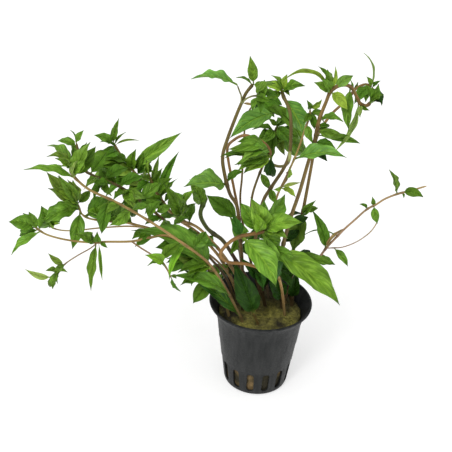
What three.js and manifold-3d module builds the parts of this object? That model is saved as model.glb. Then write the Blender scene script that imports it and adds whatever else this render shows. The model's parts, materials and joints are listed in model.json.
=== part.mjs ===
// A potted aquarium stem plant: a black net pot, a rock wool plug, twenty rooted stems and their leaves.
// Millimetres, +Z up. The origin is the centre of the pot's flat base, on the surface that it stands on.
// +X is the plant's right and +Y its back, seen from the side that its largest leaves face.
import * as THREE from "three";
import { mergeVertices } from "three/addons/utils/BufferGeometryUtils.js";
import Module from "manifold-3d";

const wasm = await Module();
wasm.setup();

// Driving dimensions of the pot: a standard net pot with a lip 54 mm across.
const lipRadius = 27;
const potHeight = 51;
const potWall = 1.0;
const baseThickness = 1.4;
const potSides = 28;
const slotCount = 14;
const slotWidth = 3.8;
const slotBottom = 3;
const slotTop = 15;
const slotDepth = 6;
// Degrees from the front of the pot to the slot nearest it, positive to the right.
const slotTurn = -10.5;

// Rings of the pot's outside as [radius, height], from the base up to where the wall flares to the lip.
const foot = [16.2, 0];
const heel = [17.4, 1.6];
const waist = [20.8, 27.5];
const chest = [22.5, 39.8];
const neck = [24.2, 46.5];
const lipThickness = 1.2;

// The plug stands clear of the pot's wall and floor by the same gap as pieces that touch.
const gap = 0.35;
const woolShoulder = 42.5;
const woolBrow = [12, 44.7];
const woolCrown = 45.5;

// The stems are four-angled, and their straight steps stray no further than this from their curve.
const stemSides = 4;
const stemSag = 0.7;

// A leaf's cross section is a kite: two thin edges and a midrib that is thicker below than above.
// A small leaf that is one piece with its stem has no rib above.
const petioleHalfWidth = 0.5;
const ribAbove = 0.3;
const ribBelow = 0.4;
const bladeFold = 0.22;
const petioleShare = 0.1;
const leafArch = 0.12;
// Two powers that set the outline: where the blade is widest, and how full it is.
const widestPower = 0.75;
const fullnessPower = 0.8;
// A leaf of its own stands clear of its stem, and this caps how far one that lies along the stem moves out.
const leastSlant = 0.35;
// Where the cross sections stand along a leaf, as shares of its length, up to the pointed tip.
const longLeafStations = [0, 0.12, 0.3, 0.52, 0.78, 1];
const shortLeafStations = [0, 0.2, 0.45, 0.75, 1];
const fusedLeafStations = [0, 0.32, 0.68, 1];
const smallLeafStations = [0, 0.42, 1];
const longLeaf = 15;
const smallLeaf = 17;
// Blades face up and a little to the front, where the light came from.
const light = new THREE.Vector3(0, -0.6, 0.8);
const up = new THREE.Vector3(0, 0, 1);

const finishes = {
  plastic: { color: "#38393b", roughness: 0.45 },
  wool: { color: "#7d6f3c", roughness: 1 },
  tan: { color: "#a87c4c", roughness: 0.55 },
  brown: { color: "#6f5238", roughness: 0.6 },
  young: { color: "#6fae2e", roughness: 0.4 },
  mature: { color: "#3f7d24", roughness: 0.45 },
  shaded: { color: "#214c17", roughness: 0.5 },
};

const materials = {};
for (const [name, { color, roughness }] of Object.entries(finishes)) {
  materials[name] = new THREE.MeshStandardMaterial({ color, roughness, metalness: 0 });
}

// A leaf grows from a place along its stem's route: 2.5 is halfway from route point 2 to route point 3.
// Its heading is the compass angle seen from above (0 right, 90 back, 180 left, 270 front) and its rise
// the angle above the horizontal, both in degrees; length and width are in millimetres. The options are
// roll (degrees that the blade turns about its own line), arch (bulge towards the light, as a share of the
// length), lift (bulge upwards) and, for a leaf that is a piece of its own, its name and finish.
const leaf = (place, heading, rise, length, width, options = {}) => ({
  place, heading, rise, length, width, roll: 0, arch: leafArch, lift: 0, ...options,
});

// The stems that sprawl to the left.
const leftStems = [
  {
    name: "stem_left_front",
    finish: "tan",
    radii: [0.9, 0.7],
    route: [
      [-9, -12, 36], [-9, -12, 44], [-13, -14, 55], [-19, -18, 70], [-28, -24, 88], [-41, -32, 104],
      [-55, -38, 118], [-69, -42, 129], [-79, -44, 135], [-85, -45, 141], [-87, -45, 145],
      [-86, -44, 148],
    ],
    leaves: [
      leaf(9, 194, 15, 22, 5.2, { roll: 10, lift: 0.05, name: "leaf_left_front_long", finish: "young" }),
      leaf(9.2, 22, 63, 17, 7.5, { roll: -10 }),
      leaf(7.2, 220, -75, 17, 6, { name: "leaf_left_front_hanging", finish: "shaded" }),
      leaf(1.4, 196, 47, 47, 8, { roll: 4, arch: -0.04, name: "leaf_left_front_basal", finish: "mature" }),
      leaf(9.8, 205, 41, 13, 5.5, { roll: 10, lift: 0.3 }),
      leaf(10.4, 150, 27, 14, 5.5, { roll: 20, lift: 0.35 }),
      leaf(9.2, 44, 42, 16, 6.5),
      leaf(4, 211, -4, 16, 6),
    ],
  },
  {
    name: "stem_left_middle",
    finish: "brown",
    radii: [0.9, 0.7],
    route: [
      [-13, 0, 36], [-13, 0, 44], [-18, -3, 64], [-30, -6, 82], [-46, -12, 100], [-61, -18, 117],
      [-70, -22, 126], [-79, -24, 131], [-85, -25, 135], [-87, -25, 141], [-88, -24, 148],
    ],
    leaves: [
      leaf(9.7, 180, 16, 9, 4, { roll: 20, lift: 0.15 }),
      leaf(6, 30, 10, 13, 5.9),
      leaf(10, 0, 60, 7, 3.1, { arch: 0.05 }),
      leaf(10, 139, 52, 6, 1.6, { roll: 50 }),
      leaf(5, 315, -24, 11, 5),
      leaf(4, 30, 15, 10, 4.5),
      leaf(6.7, 232, -52, 10, 4.5),
      leaf(5, 149, -66, 12, 5.4),
    ],
  },
  {
    name: "stem_left_low",
    finish: "tan",
    radii: [0.9, 0.7],
    route: [
      [-14, -5, 36], [-14, -5, 44], [-20, -9, 66], [-34, -13, 84], [-51, -17, 99], [-64, -20, 105],
      [-74, -22, 107], [-83, -24, 109], [-87, -25, 112], [-88, -25, 115], [-89, -25, 118],
    ],
    leaves: [
      leaf(8.9, 198, -19, 18, 9, { arch: 0.2, lift: 0.08, name: "leaf_left_low_left", finish: "mature" }),
      leaf(9.6, 189, 53, 22, 8, { roll: 10, lift: -0.3, name: "leaf_left_low_crown", finish: "mature" }),
      leaf(7.5, 25, 15, 16, 11, { name: "leaf_left_low_broad", finish: "mature" }),
      leaf(8.5, 255, -55, 18, 6.6, { arch: 0.06 }),
      leaf(9.3, 233, 31, 12, 5.4, { roll: 20 }),
      leaf(6.6, 35, 0, 12, 5.4, { roll: 10 }),
      leaf(3.5, 220, 10, 14, 6.3),
      leaf(9.8, 225, 61, 20, 5.5, { lift: 0.1 }),
      leaf(9.2, 211, 5, 7, 3.1),
      leaf(6, 34, 54, 11, 5),
    ],
  },
  {
    name: "stem_left_thin",
    finish: "tan",
    radii: [0.9, 0.7],
    route: [
      [-11, 5, 36], [-11, 5, 44], [-19, 6, 64], [-35, 8, 77], [-54, 6, 86], [-67, 3, 90], [-83, 0, 90],
      [-95, -2, 89], [-102, -4, 90], [-107, -5, 92],
    ],
    leaves: [
      leaf(9, 233, 72, 15, 11, { name: "leaf_left_thin_round", finish: "mature" }),
      leaf(8.7, 310, 40, 10, 3),
    ],
  },
  {
    name: "stem_left_long",
    finish: "tan",
    radii: [1, 0.7],
    route: [
      [-16, -8, 36], [-16, -8, 44], [-22, -13, 67], [-31, -20, 86], [-38, -23, 96], [-47, -26, 103],
      [-55, -30, 104], [-63, -34, 104], [-74, -37, 105], [-78, -38, 105], [-86, -38, 105],
      [-94, -38, 106], [-101, -38, 108], [-105, -37, 110], [-107, -36, 111],
    ],
    leaves: [
      leaf(13.8, 200, 20, 12, 7.5, { name: "leaf_left_long_end", finish: "mature" }),
      leaf(12.6, 206, -34, 17, 4.6, { name: "leaf_left_long_down", finish: "young" }),
      leaf(9.1, 255, -70, 23, 5, { roll: 15, arch: -0.04, name: "leaf_left_long_drop", finish: "mature" }),
      leaf(2.5, 195, 36, 48, 13, {
        roll: -6, arch: 0.1, lift: 0.27, name: "leaf_left_long_sweep", finish: "mature",
      }),
      leaf(13.6, 165, -25, 9, 4),
      leaf(13, 140, 50, 9, 4),
      leaf(8.9, 295, -80, 19, 1.8, { roll: 15, arch: 0.05 }),
      leaf(2.5, 218, -2, 18, 8.1),
      leaf(12.9, 163, -29, 12, 4),
      leaf(2, 216, 51, 17, 7.7),
    ],
    shoots: [
      {
        radii: [0.6, 0.5],
        route: [
          [-78, -38, 105], [-81, -40, 103], [-86, -43, 101], [-91, -45, 98], [-94, -46, 95],
          [-98, -47, 91],
        ],
        leaves: [
          leaf(3.4, 180, 41, 9, 3),
          leaf(5, 199, 29, 13, 3, { roll: -18, lift: -0.2 }),
          leaf(4.2, 242, -57, 9, 4),
          leaf(4.5, 335, 22, 7, 3),
          leaf(4.2, 204, 11, 6, 2.7),
        ],
      },
      {
        radii: [0.6, 0.5],
        route: [
          [-63, -34, 104], [-59, -37, 103], [-54, -39, 101], [-49, -41, 99], [-46, -42, 95],
          [-44, -42, 90],
        ],
        leaves: [
          leaf(3.4, 218, 39, 13, 5, { lift: 0.2 }),
          leaf(4.9, 333, -49, 8, 3, { roll: 30 }),
          leaf(3.8, 200, 14, 9, 3.4, { lift: 0.3 }),
        ],
      },
    ],
  },
  {
    name: "stem_left_back",
    finish: "tan",
    radii: [1.1, 0.8],
    route: [
      [-7, 10, 36], [-7, 10, 44], [-18, 16, 63], [-33, 24, 77], [-43, 28, 80], [-49, 30, 83],
      [-54, 31, 89], [-58, 32, 95], [-61, 32, 102], [-62, 32, 106],
    ],
    leaves: [
      leaf(6.5, 23, 67, 28, 4.6, { roll: 25, lift: 0.4, name: "leaf_left_back_edge", finish: "shaded" }),
      leaf(4.2, 225, 65, 29, 9, { name: "leaf_left_back_broad", finish: "mature" }),
      leaf(7.8, 0, 75, 16, 3, { roll: 40 }),
      leaf(6.8, 341, 45, 17, 1.8, { roll: 40 }),
      leaf(5.8, 236, 6, 17, 7.7),
      leaf(6.1, 225, 22, 18, 4.2, { lift: 0.15 }),
      leaf(7.2, 45, 64, 12, 5.4),
      leaf(4.5, 237, 16, 17, 7),
      leaf(6, 17, 29, 10, 4.5),
      leaf(1.9, 162, -51, 17, 7.7),
      leaf(7, 226, 7, 9, 4),
    ],
  },
  {
    name: "stem_left_top",
    finish: "tan",
    radii: [1.1, 0.7],
    route: [
      [-12, 14, 36], [-12, 14, 44], [-21, 24, 58], [-35, 34, 69], [-45, 38, 74], [-57, 42, 83],
      [-66, 44, 93], [-73, 45, 102], [-78, 45, 109], [-81, 44, 115], [-82, 44, 117],
    ],
    leaves: [
      leaf(7, 10, 36, 34, 7.6, { roll: 25, arch: 0.15, name: "leaf_left_top_wing", finish: "young" }),
      leaf(7.3, 193, -8, 23, 10, { lift: 0.3, name: "leaf_left_top_roof", finish: "shaded" }),
      leaf(7, 203, -20, 28, 6.6, { lift: 0.06, name: "leaf_left_top_left", finish: "mature" }),
      leaf(9.5, 200, 30, 12, 5.4),
      leaf(9.7, 0, 77, 15, 3.6, { lift: 0.26 }),
      leaf(9.7, 105, 65, 8, 3, { roll: 20 }),
      leaf(9.2, 0, 50, 10, 1.8, { roll: 30 }),
      leaf(9, 0, 14, 14, 1.3, { roll: 40, lift: 0.26 }),
      leaf(8.8, 220, 30, 11, 3.6, { roll: 30 }),
      leaf(8.4, 240, 5, 12, 5.4),
      leaf(6.6, 225, -20, 22, 7, { name: "leaf_left_top_drop", finish: "shaded" }),
      leaf(6, 233, -28, 17, 6),
      leaf(6.5, 20, 40, 11, 5),
      leaf(4, 30, 45, 13, 5.9),
      leaf(6.8, 307, 75, 15, 6.5),
      leaf(7.2, 204, 18, 16, 7, { lift: 0.15 }),
      leaf(5.5, 240, -24, 12, 5.4),
      leaf(8.7, 216, 3, 9, 4),
      leaf(6.4, 224, 10, 17, 7.7),
      leaf(6.9, 343, 58, 13, 4.5, { roll: 20 }),
      leaf(2, 34, -68, 19, 8),
    ],
  },
];

// The stems that stand up behind the middle of the pot and arch over.
const archStems = [
  {
    name: "stem_back_dark",
    finish: "brown",
    radii: [1.1, 1.5],
    route: [
      [-2, 15, 36], [-2, 15, 44], [-13, 22, 59], [-21, 27, 69], [-27, 30, 72], [-31, 32, 75],
      [-34, 30, 84], [-31, 31, 94],
    ],
    leaves: [
      leaf(6.5, 205, 65, 19, 8, { name: "leaf_back_dark_hanging", finish: "mature" }),
    ],
  },
  {
    name: "stem_hairpin",
    finish: "tan",
    radii: [0.9, 1.05],
    route: [
      [9, 14, 36], [9, 14, 44], [7, 2, 60], [0, -14, 78], [-9, -24, 88], [-18, -26, 90],
      [-22, -30, 97], [-18, -34, 106], [-13, -35, 110], [-6, -33, 111], [-2, -30, 111],
    ],
    leaves: [
      leaf(8, 325, -42, 28, 11.6, { roll: -6, arch: 0.14, name: "leaf_hairpin_front", finish: "young" }),
      leaf(9.8, 342, 25, 20, 9, { arch: 0.14, lift: 0.04, name: "leaf_hairpin_right", finish: "young" }),
      leaf(9.7, 201, 69, 20, 9.5, { arch: 0.1, name: "leaf_hairpin_up", finish: "young" }),
      leaf(9.1, 144, 48, 16, 8, { arch: 0.1, name: "leaf_hairpin_left", finish: "young" }),
      leaf(9.9, 54, 39, 20, 8, { roll: 10, lift: 0.1 }),
      leaf(9.7, 32, -76, 33, 6.5),
    ],
  },
  {
    name: "stem_arch_left",
    finish: "brown",
    radii: [1.3, 0.9],
    route: [
      [-9, -2, 36], [-9, -2, 44], [-11, -2, 74], [-13, -4, 93], [-15, -6, 109], [-19, -9, 118],
      [-22, -13, 131], [-23, -16, 141], [-21, -18, 151], [-18, -20, 162], [-16, -20, 168],
      [-14, -19, 173], [-11, -18, 177],
    ],
    leaves: [
      leaf(5.4, 203, 7, 22, 12, { arch: 0.16, name: "leaf_arch_left_broad", finish: "mature" }),
      leaf(3.5, 147, 19, 21, 9, { arch: -0.1, name: "leaf_arch_left_dark", finish: "shaded" }),
      leaf(12, 227, 76, 14, 4.6, { arch: 0.04, name: "leaf_arch_left_spire", finish: "young" }),
      leaf(2.8, 238, 58, 22, 8),
      leaf(11.9, 165, 15, 8, 2.2, { roll: 30 }),
      leaf(11.9, 340, -15, 8, 3.6, { roll: 30, lift: 0.3 }),
    ],
    shoots: [
      {
        radii: [0.6, 0.5],
        route: [
          [-16, -20, 168], [-14, -21, 171], [-11, -22, 173], [-8, -22, 173],
        ],
        leaves: [
          leaf(2.9, 315, 56, 8, 3.6),
          leaf(2.7, 16, -3, 9, 4),
        ],
      },
      {
        radii: [0.6, 0.5],
        route: [
          [-16, -20, 168], [-16, -21, 172], [-17, -22, 175], [-18, -23, 178],
        ],
        leaves: [
          leaf(3, 185, 7, 20, 7, {
            roll: 12, arch: 0.06, lift: 0.1, name: "leaf_arch_left_flag", finish: "mature",
          }),
        ],
      },
    ],
  },
  {
    name: "stem_middle_back",
    finish: "brown",
    radii: [0.9, 0.7],
    route: [
      [1, 10, 36], [1, 10, 44], [-8, 15, 72], [-13, 20, 96], [-13, 23, 110], [-13, 24, 125],
      [-13, 23, 137], [-12, 20, 147], [-9, 16, 154], [-6, 13, 158], [-2, 11, 155], [1, 8, 153],
    ],
    leaves: [
      leaf(11, 215, -16, 27, 9.5, {
        arch: 0.05, lift: 0.1, name: "leaf_middle_back_lying", finish: "mature",
      }),
      leaf(8.8, 15, -51, 39, 7, { lift: 0.22, name: "leaf_middle_back_cover", finish: "shaded" }),
      leaf(9, 10, -20, 11, 5),
      leaf(9, 75, 65, 9, 4, { roll: 10 }),
      leaf(8.9, 255, -60, 8, 3.6),
      leaf(9.8, 327, -27, 10, 4.5),
    ],
  },
  {
    name: "stem_drooping",
    finish: "tan",
    radii: [0.9, 0.8],
    route: [
      [-6, 4, 36], [-6, 4, 44], [-12, 5, 75], [-14, 6, 98], [-17, 6, 113], [-20, 2, 128],
      [-21, -5, 140], [-18, -11, 147], [-14, -17, 152], [-10, -23, 154], [-6, -27, 154],
      [-3, -30, 152], [-2, -31, 149],
    ],
    leaves: [
      leaf(11.3, 195, 7, 19, 6, { roll: 10 }),
      leaf(11.8, 209, -17, 17, 6),
      leaf(11.8, 185, -5, 20, 6.5),
      leaf(12, 75, -65, 14, 5.5),
      leaf(11.8, 210, -4, 18, 6),
      leaf(12, 210, -23, 13, 5, { arch: 0.25, lift: -0.15 }),
      leaf(10.8, 212, 4, 19, 6.5, { arch: 0.2 }),
      leaf(11.7, 190, -1, 22, 4.5, { lift: -0.1 }),
      leaf(11.4, 224, -2, 19, 6, { arch: 0.2 }),
    ],
  },
  {
    name: "stem_middle_arch",
    finish: "brown",
    radii: [1.2, 0.9],
    route: [
      [3, 2, 36], [3, 2, 44], [-4, -3, 76], [-5, -8, 99], [-3, -12, 116], [0, -15, 125], [5, -18, 137],
      [7, -19, 145], [7, -18, 154], [6, -14, 163], [3, -9, 168], [2, -6, 170],
    ],
    leaves: [
      leaf(10, 12, -59, 21, 9.6, { name: "leaf_middle_arch_veined", finish: "young" }),
      leaf(10.8, 180, 55, 9, 4, { roll: 20 }),
      leaf(1.6, 200, 55, 21, 5),
      leaf(10.8, 55, 65, 8, 3.6, { roll: 10 }),
      leaf(1.4, 219, 65, 23, 8),
      leaf(10.8, 305, 0, 6, 2.7),
    ],
    shoots: [
      {
        radii: [0.95, 0.8],
        route: [
          [7, -19, 146], [7, -22, 144], [7, -6, 133], [3, -6, 132], [-3, -5, 134],
        ],
        leaves: [],
      },
    ],
  },
  {
    name: "stem_back_centre",
    finish: "brown",
    radii: [0.9, 0.7],
    route: [
      [5, 8, 36], [5, 8, 44], [0, 22, 65], [-6, 28, 83], [-7, 30, 95], [-4, 30, 109], [0, 29, 121],
      [2, 28, 130], [3, 27, 138],
    ],
    leaves: [
      leaf(7.7, 25, -41, 25, 9, { roll: 37 }),
      leaf(1.8, 18, 49, 12, 5.4),
    ],
  },
];

// The stems on the right, with the runner, and the short ones in front.
const rightStems = [
  {
    name: "stem_middle_thin",
    finish: "tan",
    radii: [0.9, 0.7],
    route: [
      [14, 7, 36], [14, 7, 44], [4, 8, 70], [3, 7, 83], [3, 3, 100], [4, -4, 115], [7, -12, 130],
      [9, -20, 142], [11, -21, 150], [13, -17, 156], [15, -13, 161], [15, -11, 164],
    ],
    leaves: [
      leaf(7.1, 343, 13, 24, 8.6, {
        roll: -10, arch: 0.08, name: "leaf_middle_thin_lone", finish: "mature",
      }),
      leaf(10.9, 27, 33, 7, 3.1, { roll: 10 }),
      leaf(2, 30, 20, 12, 5.4),
      leaf(10.9, 230, 60, 6, 2.7),
    ],
    shoots: [
      {
        radii: [0.6, 0.5],
        route: [
          [7, -14, 133], [7, -18, 132], [5, -20, 129], [4, -21, 128],
        ],
        leaves: [],
      },
    ],
  },
  {
    name: "stem_right_inner",
    finish: "brown",
    radii: [1.35, 0.85],
    route: [
      [12, 1, 36], [12, 1, 44], [8, -3, 73], [9, -5, 89], [11, -8, 105], [14, -11, 122],
      [16, -14, 137], [18, -16, 150], [19, -17, 161], [21, -18, 170], [23, -18, 176], [28, -17, 178],
      [32, -15, 176], [35, -14, 171], [37, -13, 168], [40, -12, 167], [42, -11, 169],
    ],
    leaves: [
      leaf(10, 175, 5, 22, 2.5, { roll: 10, lift: 0.36, name: "leaf_right_inner_bow", finish: "young" }),
      leaf(11.8, 276, -71, 19, 5.5, {
        roll: 20, arch: 0.06, name: "leaf_right_inner_hanging", finish: "mature",
      }),
      leaf(13.2, 223, -60, 25, 3.6, {
        roll: 30, lift: -1.4, name: "leaf_right_inner_ribbon", finish: "young",
      }),
      leaf(7.3, 10, -13, 22, 3.8, { roll: 10, name: "leaf_right_inner_dart", finish: "shaded" }),
      leaf(9.9, 165, 57, 12, 4, { roll: 20 }),
      leaf(10.2, 20, 30, 10, 4.5),
      leaf(10.1, 80, 85, 10, 2, { arch: 0.02 }),
      leaf(9.8, 204, 31, 10, 4.5),
      leaf(15.9, 300, 70, 10, 4.5, { roll: 10 }),
      leaf(8.1, 335, 5, 11, 5),
      leaf(3.8, 26, 9, 11, 5),
      leaf(14.1, 265, -55, 6, 2.7),
      leaf(10, 139, 68, 9, 4),
      leaf(7.5, 347, -4, 13, 4.6),
      leaf(7.7, 21, -9, 6, 2.7),
      leaf(15.4, 325, 45, 9, 4),
    ],
  },
  {
    name: "stem_right_outer",
    finish: "brown",
    radii: [1.35, 0.7],
    route: [
      [17, 5, 36], [17, 5, 44], [15, 5, 76], [17, 4, 91], [18, 3, 105], [19, 2, 120], [20, 3, 132],
      [21, 5, 142], [24, 8, 148], [28, 11, 153], [32, 14, 156], [36, 16, 160], [39, 17, 164],
      [43, 17, 166], [46, 16, 165],
    ],
    leaves: [
      leaf(3.9, 229, -76, 22, 11, {
        roll: 15, arch: 0.06, name: "leaf_right_outer_olive", finish: "shaded",
      }),
      leaf(13.9, 160, 70, 17, 1.6, { roll: 60, lift: 0.24 }),
      leaf(14, 315, -45, 10, 4.5),
      leaf(3.7, 326, 59, 13, 4),
      leaf(11.4, 50, 50, 6, 1.4, { roll: 20 }),
      leaf(2, 344, -2, 22, 5.5, { lift: -0.05 }),
      leaf(3.9, 15, 7, 8, 3.6),
      leaf(3.8, 212, -6, 10, 4.5),
      leaf(1.2, 278, 77, 23, 6),
    ],
  },
  {
    name: "stem_runner",
    finish: "tan",
    radii: [0.9, 0.7],
    route: [
      [14, 12, 36], [14, 12, 44], [19, 14, 62], [25, 12, 68], [29, 10, 72], [32, 7, 80], [35, 4, 87],
      [39, 0, 96], [43, -4, 104], [47, -8, 112], [51, -11, 117], [54, -13, 121], [59, -15, 125],
      [64, -17, 128], [71, -19, 132],
    ],
    leaves: [
      leaf(4.9, 199, 68, 27, 5.8, {
        roll: -24, arch: 0.1, lift: 0.3, name: "leaf_runner_tall", finish: "shaded",
      }),
      leaf(12, 200, 65, 15, 4.6, { arch: -0.06 }),
      leaf(12.4, 343, -2, 10, 4.5, { lift: 0.3 }),
      leaf(5, 339, 59, 17, 2.6),
      leaf(5, 308, 59, 17, 2),
    ],
    shoots: [
      {
        radii: [0.6, 0.5],
        route: [
          [32, 7, 80], [35, 6, 81], [40, 4, 83], [46, 0, 89], [51, -4, 97], [53, -7, 104],
          [53, -8, 107],
        ],
        leaves: [
          leaf(1.2, 325, -40, 12, 4),
        ],
      },
    ],
  },
  {
    name: "stem_front_right",
    finish: "tan",
    radii: [0.9, 0.9],
    route: [
      [13, -5, 36], [13, -5, 44], [9, -10, 68], [4, -19, 83], [3, -25, 93], [0, -29, 101],
    ],
    leaves: [
      leaf(5, 346, -34, 44, 12.2, {
        arch: 0.1, lift: 0.05, name: "leaf_front_right_giant", finish: "young",
      }),
    ],
  },
  {
    name: "stem_front_dark",
    finish: "brown",
    radii: [0.9, 0.8],
    route: [
      [-1, -14, 36], [-1, -14, 44], [-3, -16, 51], [-5, -17, 56],
    ],
    leaves: [
      leaf(2.3, 192, 70, 36, 11.6, {
        roll: -10, arch: 0.06, name: "leaf_front_dark_blade", finish: "shaded",
      }),
    ],
  },
];

// Turns a closed geometry into a solid that can be joined and cut.
function toSolid(geometry) {
  const bare = geometry.index ? geometry.toNonIndexed() : geometry.clone();
  bare.deleteAttribute("normal");
  bare.deleteAttribute("uv");
  const merged = mergeVertices(bare);
  return new wasm.Manifold(new wasm.Mesh({
    numProp: 3,
    vertProperties: new Float32Array(merged.attributes.position.array),
    triVerts: new Uint32Array(merged.index.array),
  }));
}

function toGeometry(solid) {
  const { vertProperties, triVerts } = solid.getMesh();
  const geometry = new THREE.BufferGeometry();
  geometry.setAttribute("position", new THREE.BufferAttribute(vertProperties, 3));
  geometry.setIndex(new THREE.BufferAttribute(triVerts, 1));
  geometry.computeVertexNormals();
  return geometry;
}

function toMesh(name, finish, geometry) {
  const mesh = new THREE.Mesh(geometry, materials[finish]);
  mesh.name = name;
  return mesh;
}

// A profile of [radius, height] pairs turned about the vertical axis, with a side of it at each slot.
function turned(profile) {
  const points = profile.map(([radius, height]) => new THREE.Vector2(radius, height));
  const start = THREE.MathUtils.degToRad(slotTurn) - Math.PI / potSides;
  return new THREE.LatheGeometry(points, potSides, start).rotateX(Math.PI / 2);
}

const inward = ([radius, height], amount) => [radius - amount, height];

// Pot: the outside up to the lip, then the inside back down to the floor, less the slots.
function pot() {
  const profile = [
    [0, 0],
    foot,
    heel,
    waist,
    chest,
    neck,
    [lipRadius, potHeight - lipThickness],
    [lipRadius, potHeight],
    [lipRadius - lipThickness, potHeight],
    inward(neck, potWall),
    inward(chest, potWall),
    inward(waist, potWall),
    [heel[0] - potWall, baseThickness],
    [0, baseThickness],
  ];
  let body = toSolid(turned(profile));
  for (let index = 0; index < slotCount; index += 1) {
    const angle = THREE.MathUtils.degToRad(slotTurn - 90 + (index / slotCount) * 360);
    const slot = new THREE.BoxGeometry(slotDepth, slotWidth, slotTop - slotBottom)
      .translate(heel[0] + potWall, 0, (slotTop + slotBottom) / 2)
      .rotateZ(angle);
    body = body.subtract(toSolid(slot));
  }
  return toMesh("pot", "plastic", toGeometry(body));
}

// A stem's centre line runs smoothly through its route points.
const centreLine = (route) => new THREE.CatmullRomCurve3(
  route.map(([x, y, z]) => new THREE.Vector3(x, y, z)), false, "catmullrom", 0.5,
);

// The fewest steps that keep a stem's straight stretches close to its curve.
function stepsAlong(line) {
  let steps = 2;
  let sag = Infinity;
  while (sag > stemSag) {
    steps += 1;
    const ends = line.getSpacedPoints(steps);
    const middles = line.getSpacedPoints(2 * steps).filter((_, index) => index % 2 === 1);
    sag = Math.max(...middles.map((middle, index) => (
      ends[index].clone().lerp(ends[index + 1], 0.5).distanceTo(middle)
    )));
  }
  return steps;
}

// A tube along a centre line that tapers from one radius to the other.
function taperedTube(line, radii, steps) {
  const section = new THREE.Shape(
    Array.from({ length: stemSides }, (_, side) => {
      const angle = (side / stemSides) * 2 * Math.PI;
      return new THREE.Vector2(Math.cos(angle), Math.sin(angle));
    }),
  );
  const tube = new THREE.ExtrudeGeometry(section, { steps, extrudePath: line });
  const centres = line.getSpacedPoints(steps);
  const position = tube.attributes.position;
  const point = new THREE.Vector3();
  for (let index = 0; index < position.count; index += 1) {
    point.fromBufferAttribute(position, index);
    const distances = centres.map((centre) => centre.distanceTo(point));
    const nearest = distances.indexOf(Math.min(...distances));
    const radius = THREE.MathUtils.lerp(radii[0], radii[1], nearest / steps);
    point.sub(centres[nearest]).multiplyScalar(radius).add(centres[nearest]);
    position.setXYZ(index, point.x, point.y, point.z);
  }
  return tube;
}

// Which side of the axis a coordinate is on: -1, 0 or 1.
const sideOf = (value) => (Math.abs(value) < 1e-6 ? 0 : Math.sign(value));

// A leaf in its own frame: Y along it, X across the blade and Z out of its face. It starts as a closed cone
// with four sides, or three for a fused leaf, whose rings become the sections.
function leafGeometry(length, width, bend, fused) {
  const own = length > longLeaf ? longLeafStations : shortLeafStations;
  const small = length > smallLeaf ? fusedLeafStations : smallLeafStations;
  const stations = fused ? small : own;
  const rings = stations.length - 1;
  const geometry = new THREE.CylinderGeometry(0, 1, 1, fused ? 3 : 4, rings).rotateY(Math.PI);
  const position = geometry.attributes.position;
  for (let index = 0; index < position.count; index += 1) {
    const share = stations[Math.round((position.getY(index) + 0.5) * rings)];
    const across = sideOf(position.getX(index));
    const above = sideOf(position.getZ(index));
    const blade = Math.max(0, (share - petioleShare) / (1 - petioleShare));
    const outline = Math.sin(Math.PI * blade ** widestPower) ** fullnessPower;
    const half = Math.max(petioleHalfWidth, (width / 2) * outline);
    const swing = 2 * share * (1 - share);
    const rib = above > 0 ? ribAbove : -ribBelow * Math.abs(above);
    const height = across ? bladeFold * half : rib;
    position.setXYZ(
      index,
      across * half + swing * bend.x,
      share * length + swing * bend.y,
      height + swing * bend.z,
    );
  }
  return geometry;
}

// The mesh of one leaf, standing where it grows. A leaf of its own stays just clear of its stem.
function placeLeaf(data, line, radii, points) {
  const share = data.place / (points - 1);
  const root = line.getPoint(share);
  const heading = THREE.MathUtils.degToRad(data.heading);
  const rise = THREE.MathUtils.degToRad(data.rise);
  const along = new THREE.Vector3(
    Math.cos(rise) * Math.cos(heading), Math.cos(rise) * Math.sin(heading), Math.sin(rise),
  );
  const face = light.clone().projectOnPlane(along).normalize();
  face.applyAxisAngle(along, THREE.MathUtils.degToRad(data.roll));
  const across = along.clone().cross(face);
  const turn = new THREE.Matrix4().makeBasis(across, along, face);

  let { length } = data;
  if (data.name) {
    const slant = Math.max(leastSlant, along.clone().cross(line.getTangent(share)).length());
    const clear = (THREE.MathUtils.lerp(radii[0], radii[1], share) + gap + petioleHalfWidth) / slant;
    root.addScaledVector(along, clear);
    length -= clear;
  }
  const bend = face.clone().multiplyScalar(data.arch * data.length);
  bend.addScaledVector(up.clone().projectOnPlane(along), data.lift * data.length);
  bend.applyMatrix4(turn.clone().invert());

  const geometry = leafGeometry(length, data.width, bend, !data.name);
  const mesh = toMesh(data.name ?? "", data.finish ?? "mature", geometry);
  mesh.position.copy(root);
  mesh.quaternion.setFromRotationMatrix(turn);
  mesh.updateMatrix();
  return mesh;
}

// A stem with its side shoots and the small leaves that are one piece with it, and the leaves of its own.
function stem({ name, finish, radii, route, leaves, shoots = [] }) {
  const group = new THREE.Group();
  let body = null;
  for (const branch of [{ radii, route, leaves }, ...shoots]) {
    const line = centreLine(branch.route);
    const tube = toSolid(taperedTube(line, branch.radii, stepsAlong(line)));
    body = body ? body.add(tube) : tube;
    for (const data of branch.leaves) {
      const mesh = placeLeaf(data, line, branch.radii, branch.route.length);
      if (data.name) {
        group.add(mesh);
      } else {
        body = body.add(toSolid(mesh.geometry.applyMatrix4(mesh.matrix)));
      }
    }
  }
  group.add(toMesh(name, finish, toGeometry(body)));
  return group;
}

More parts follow.
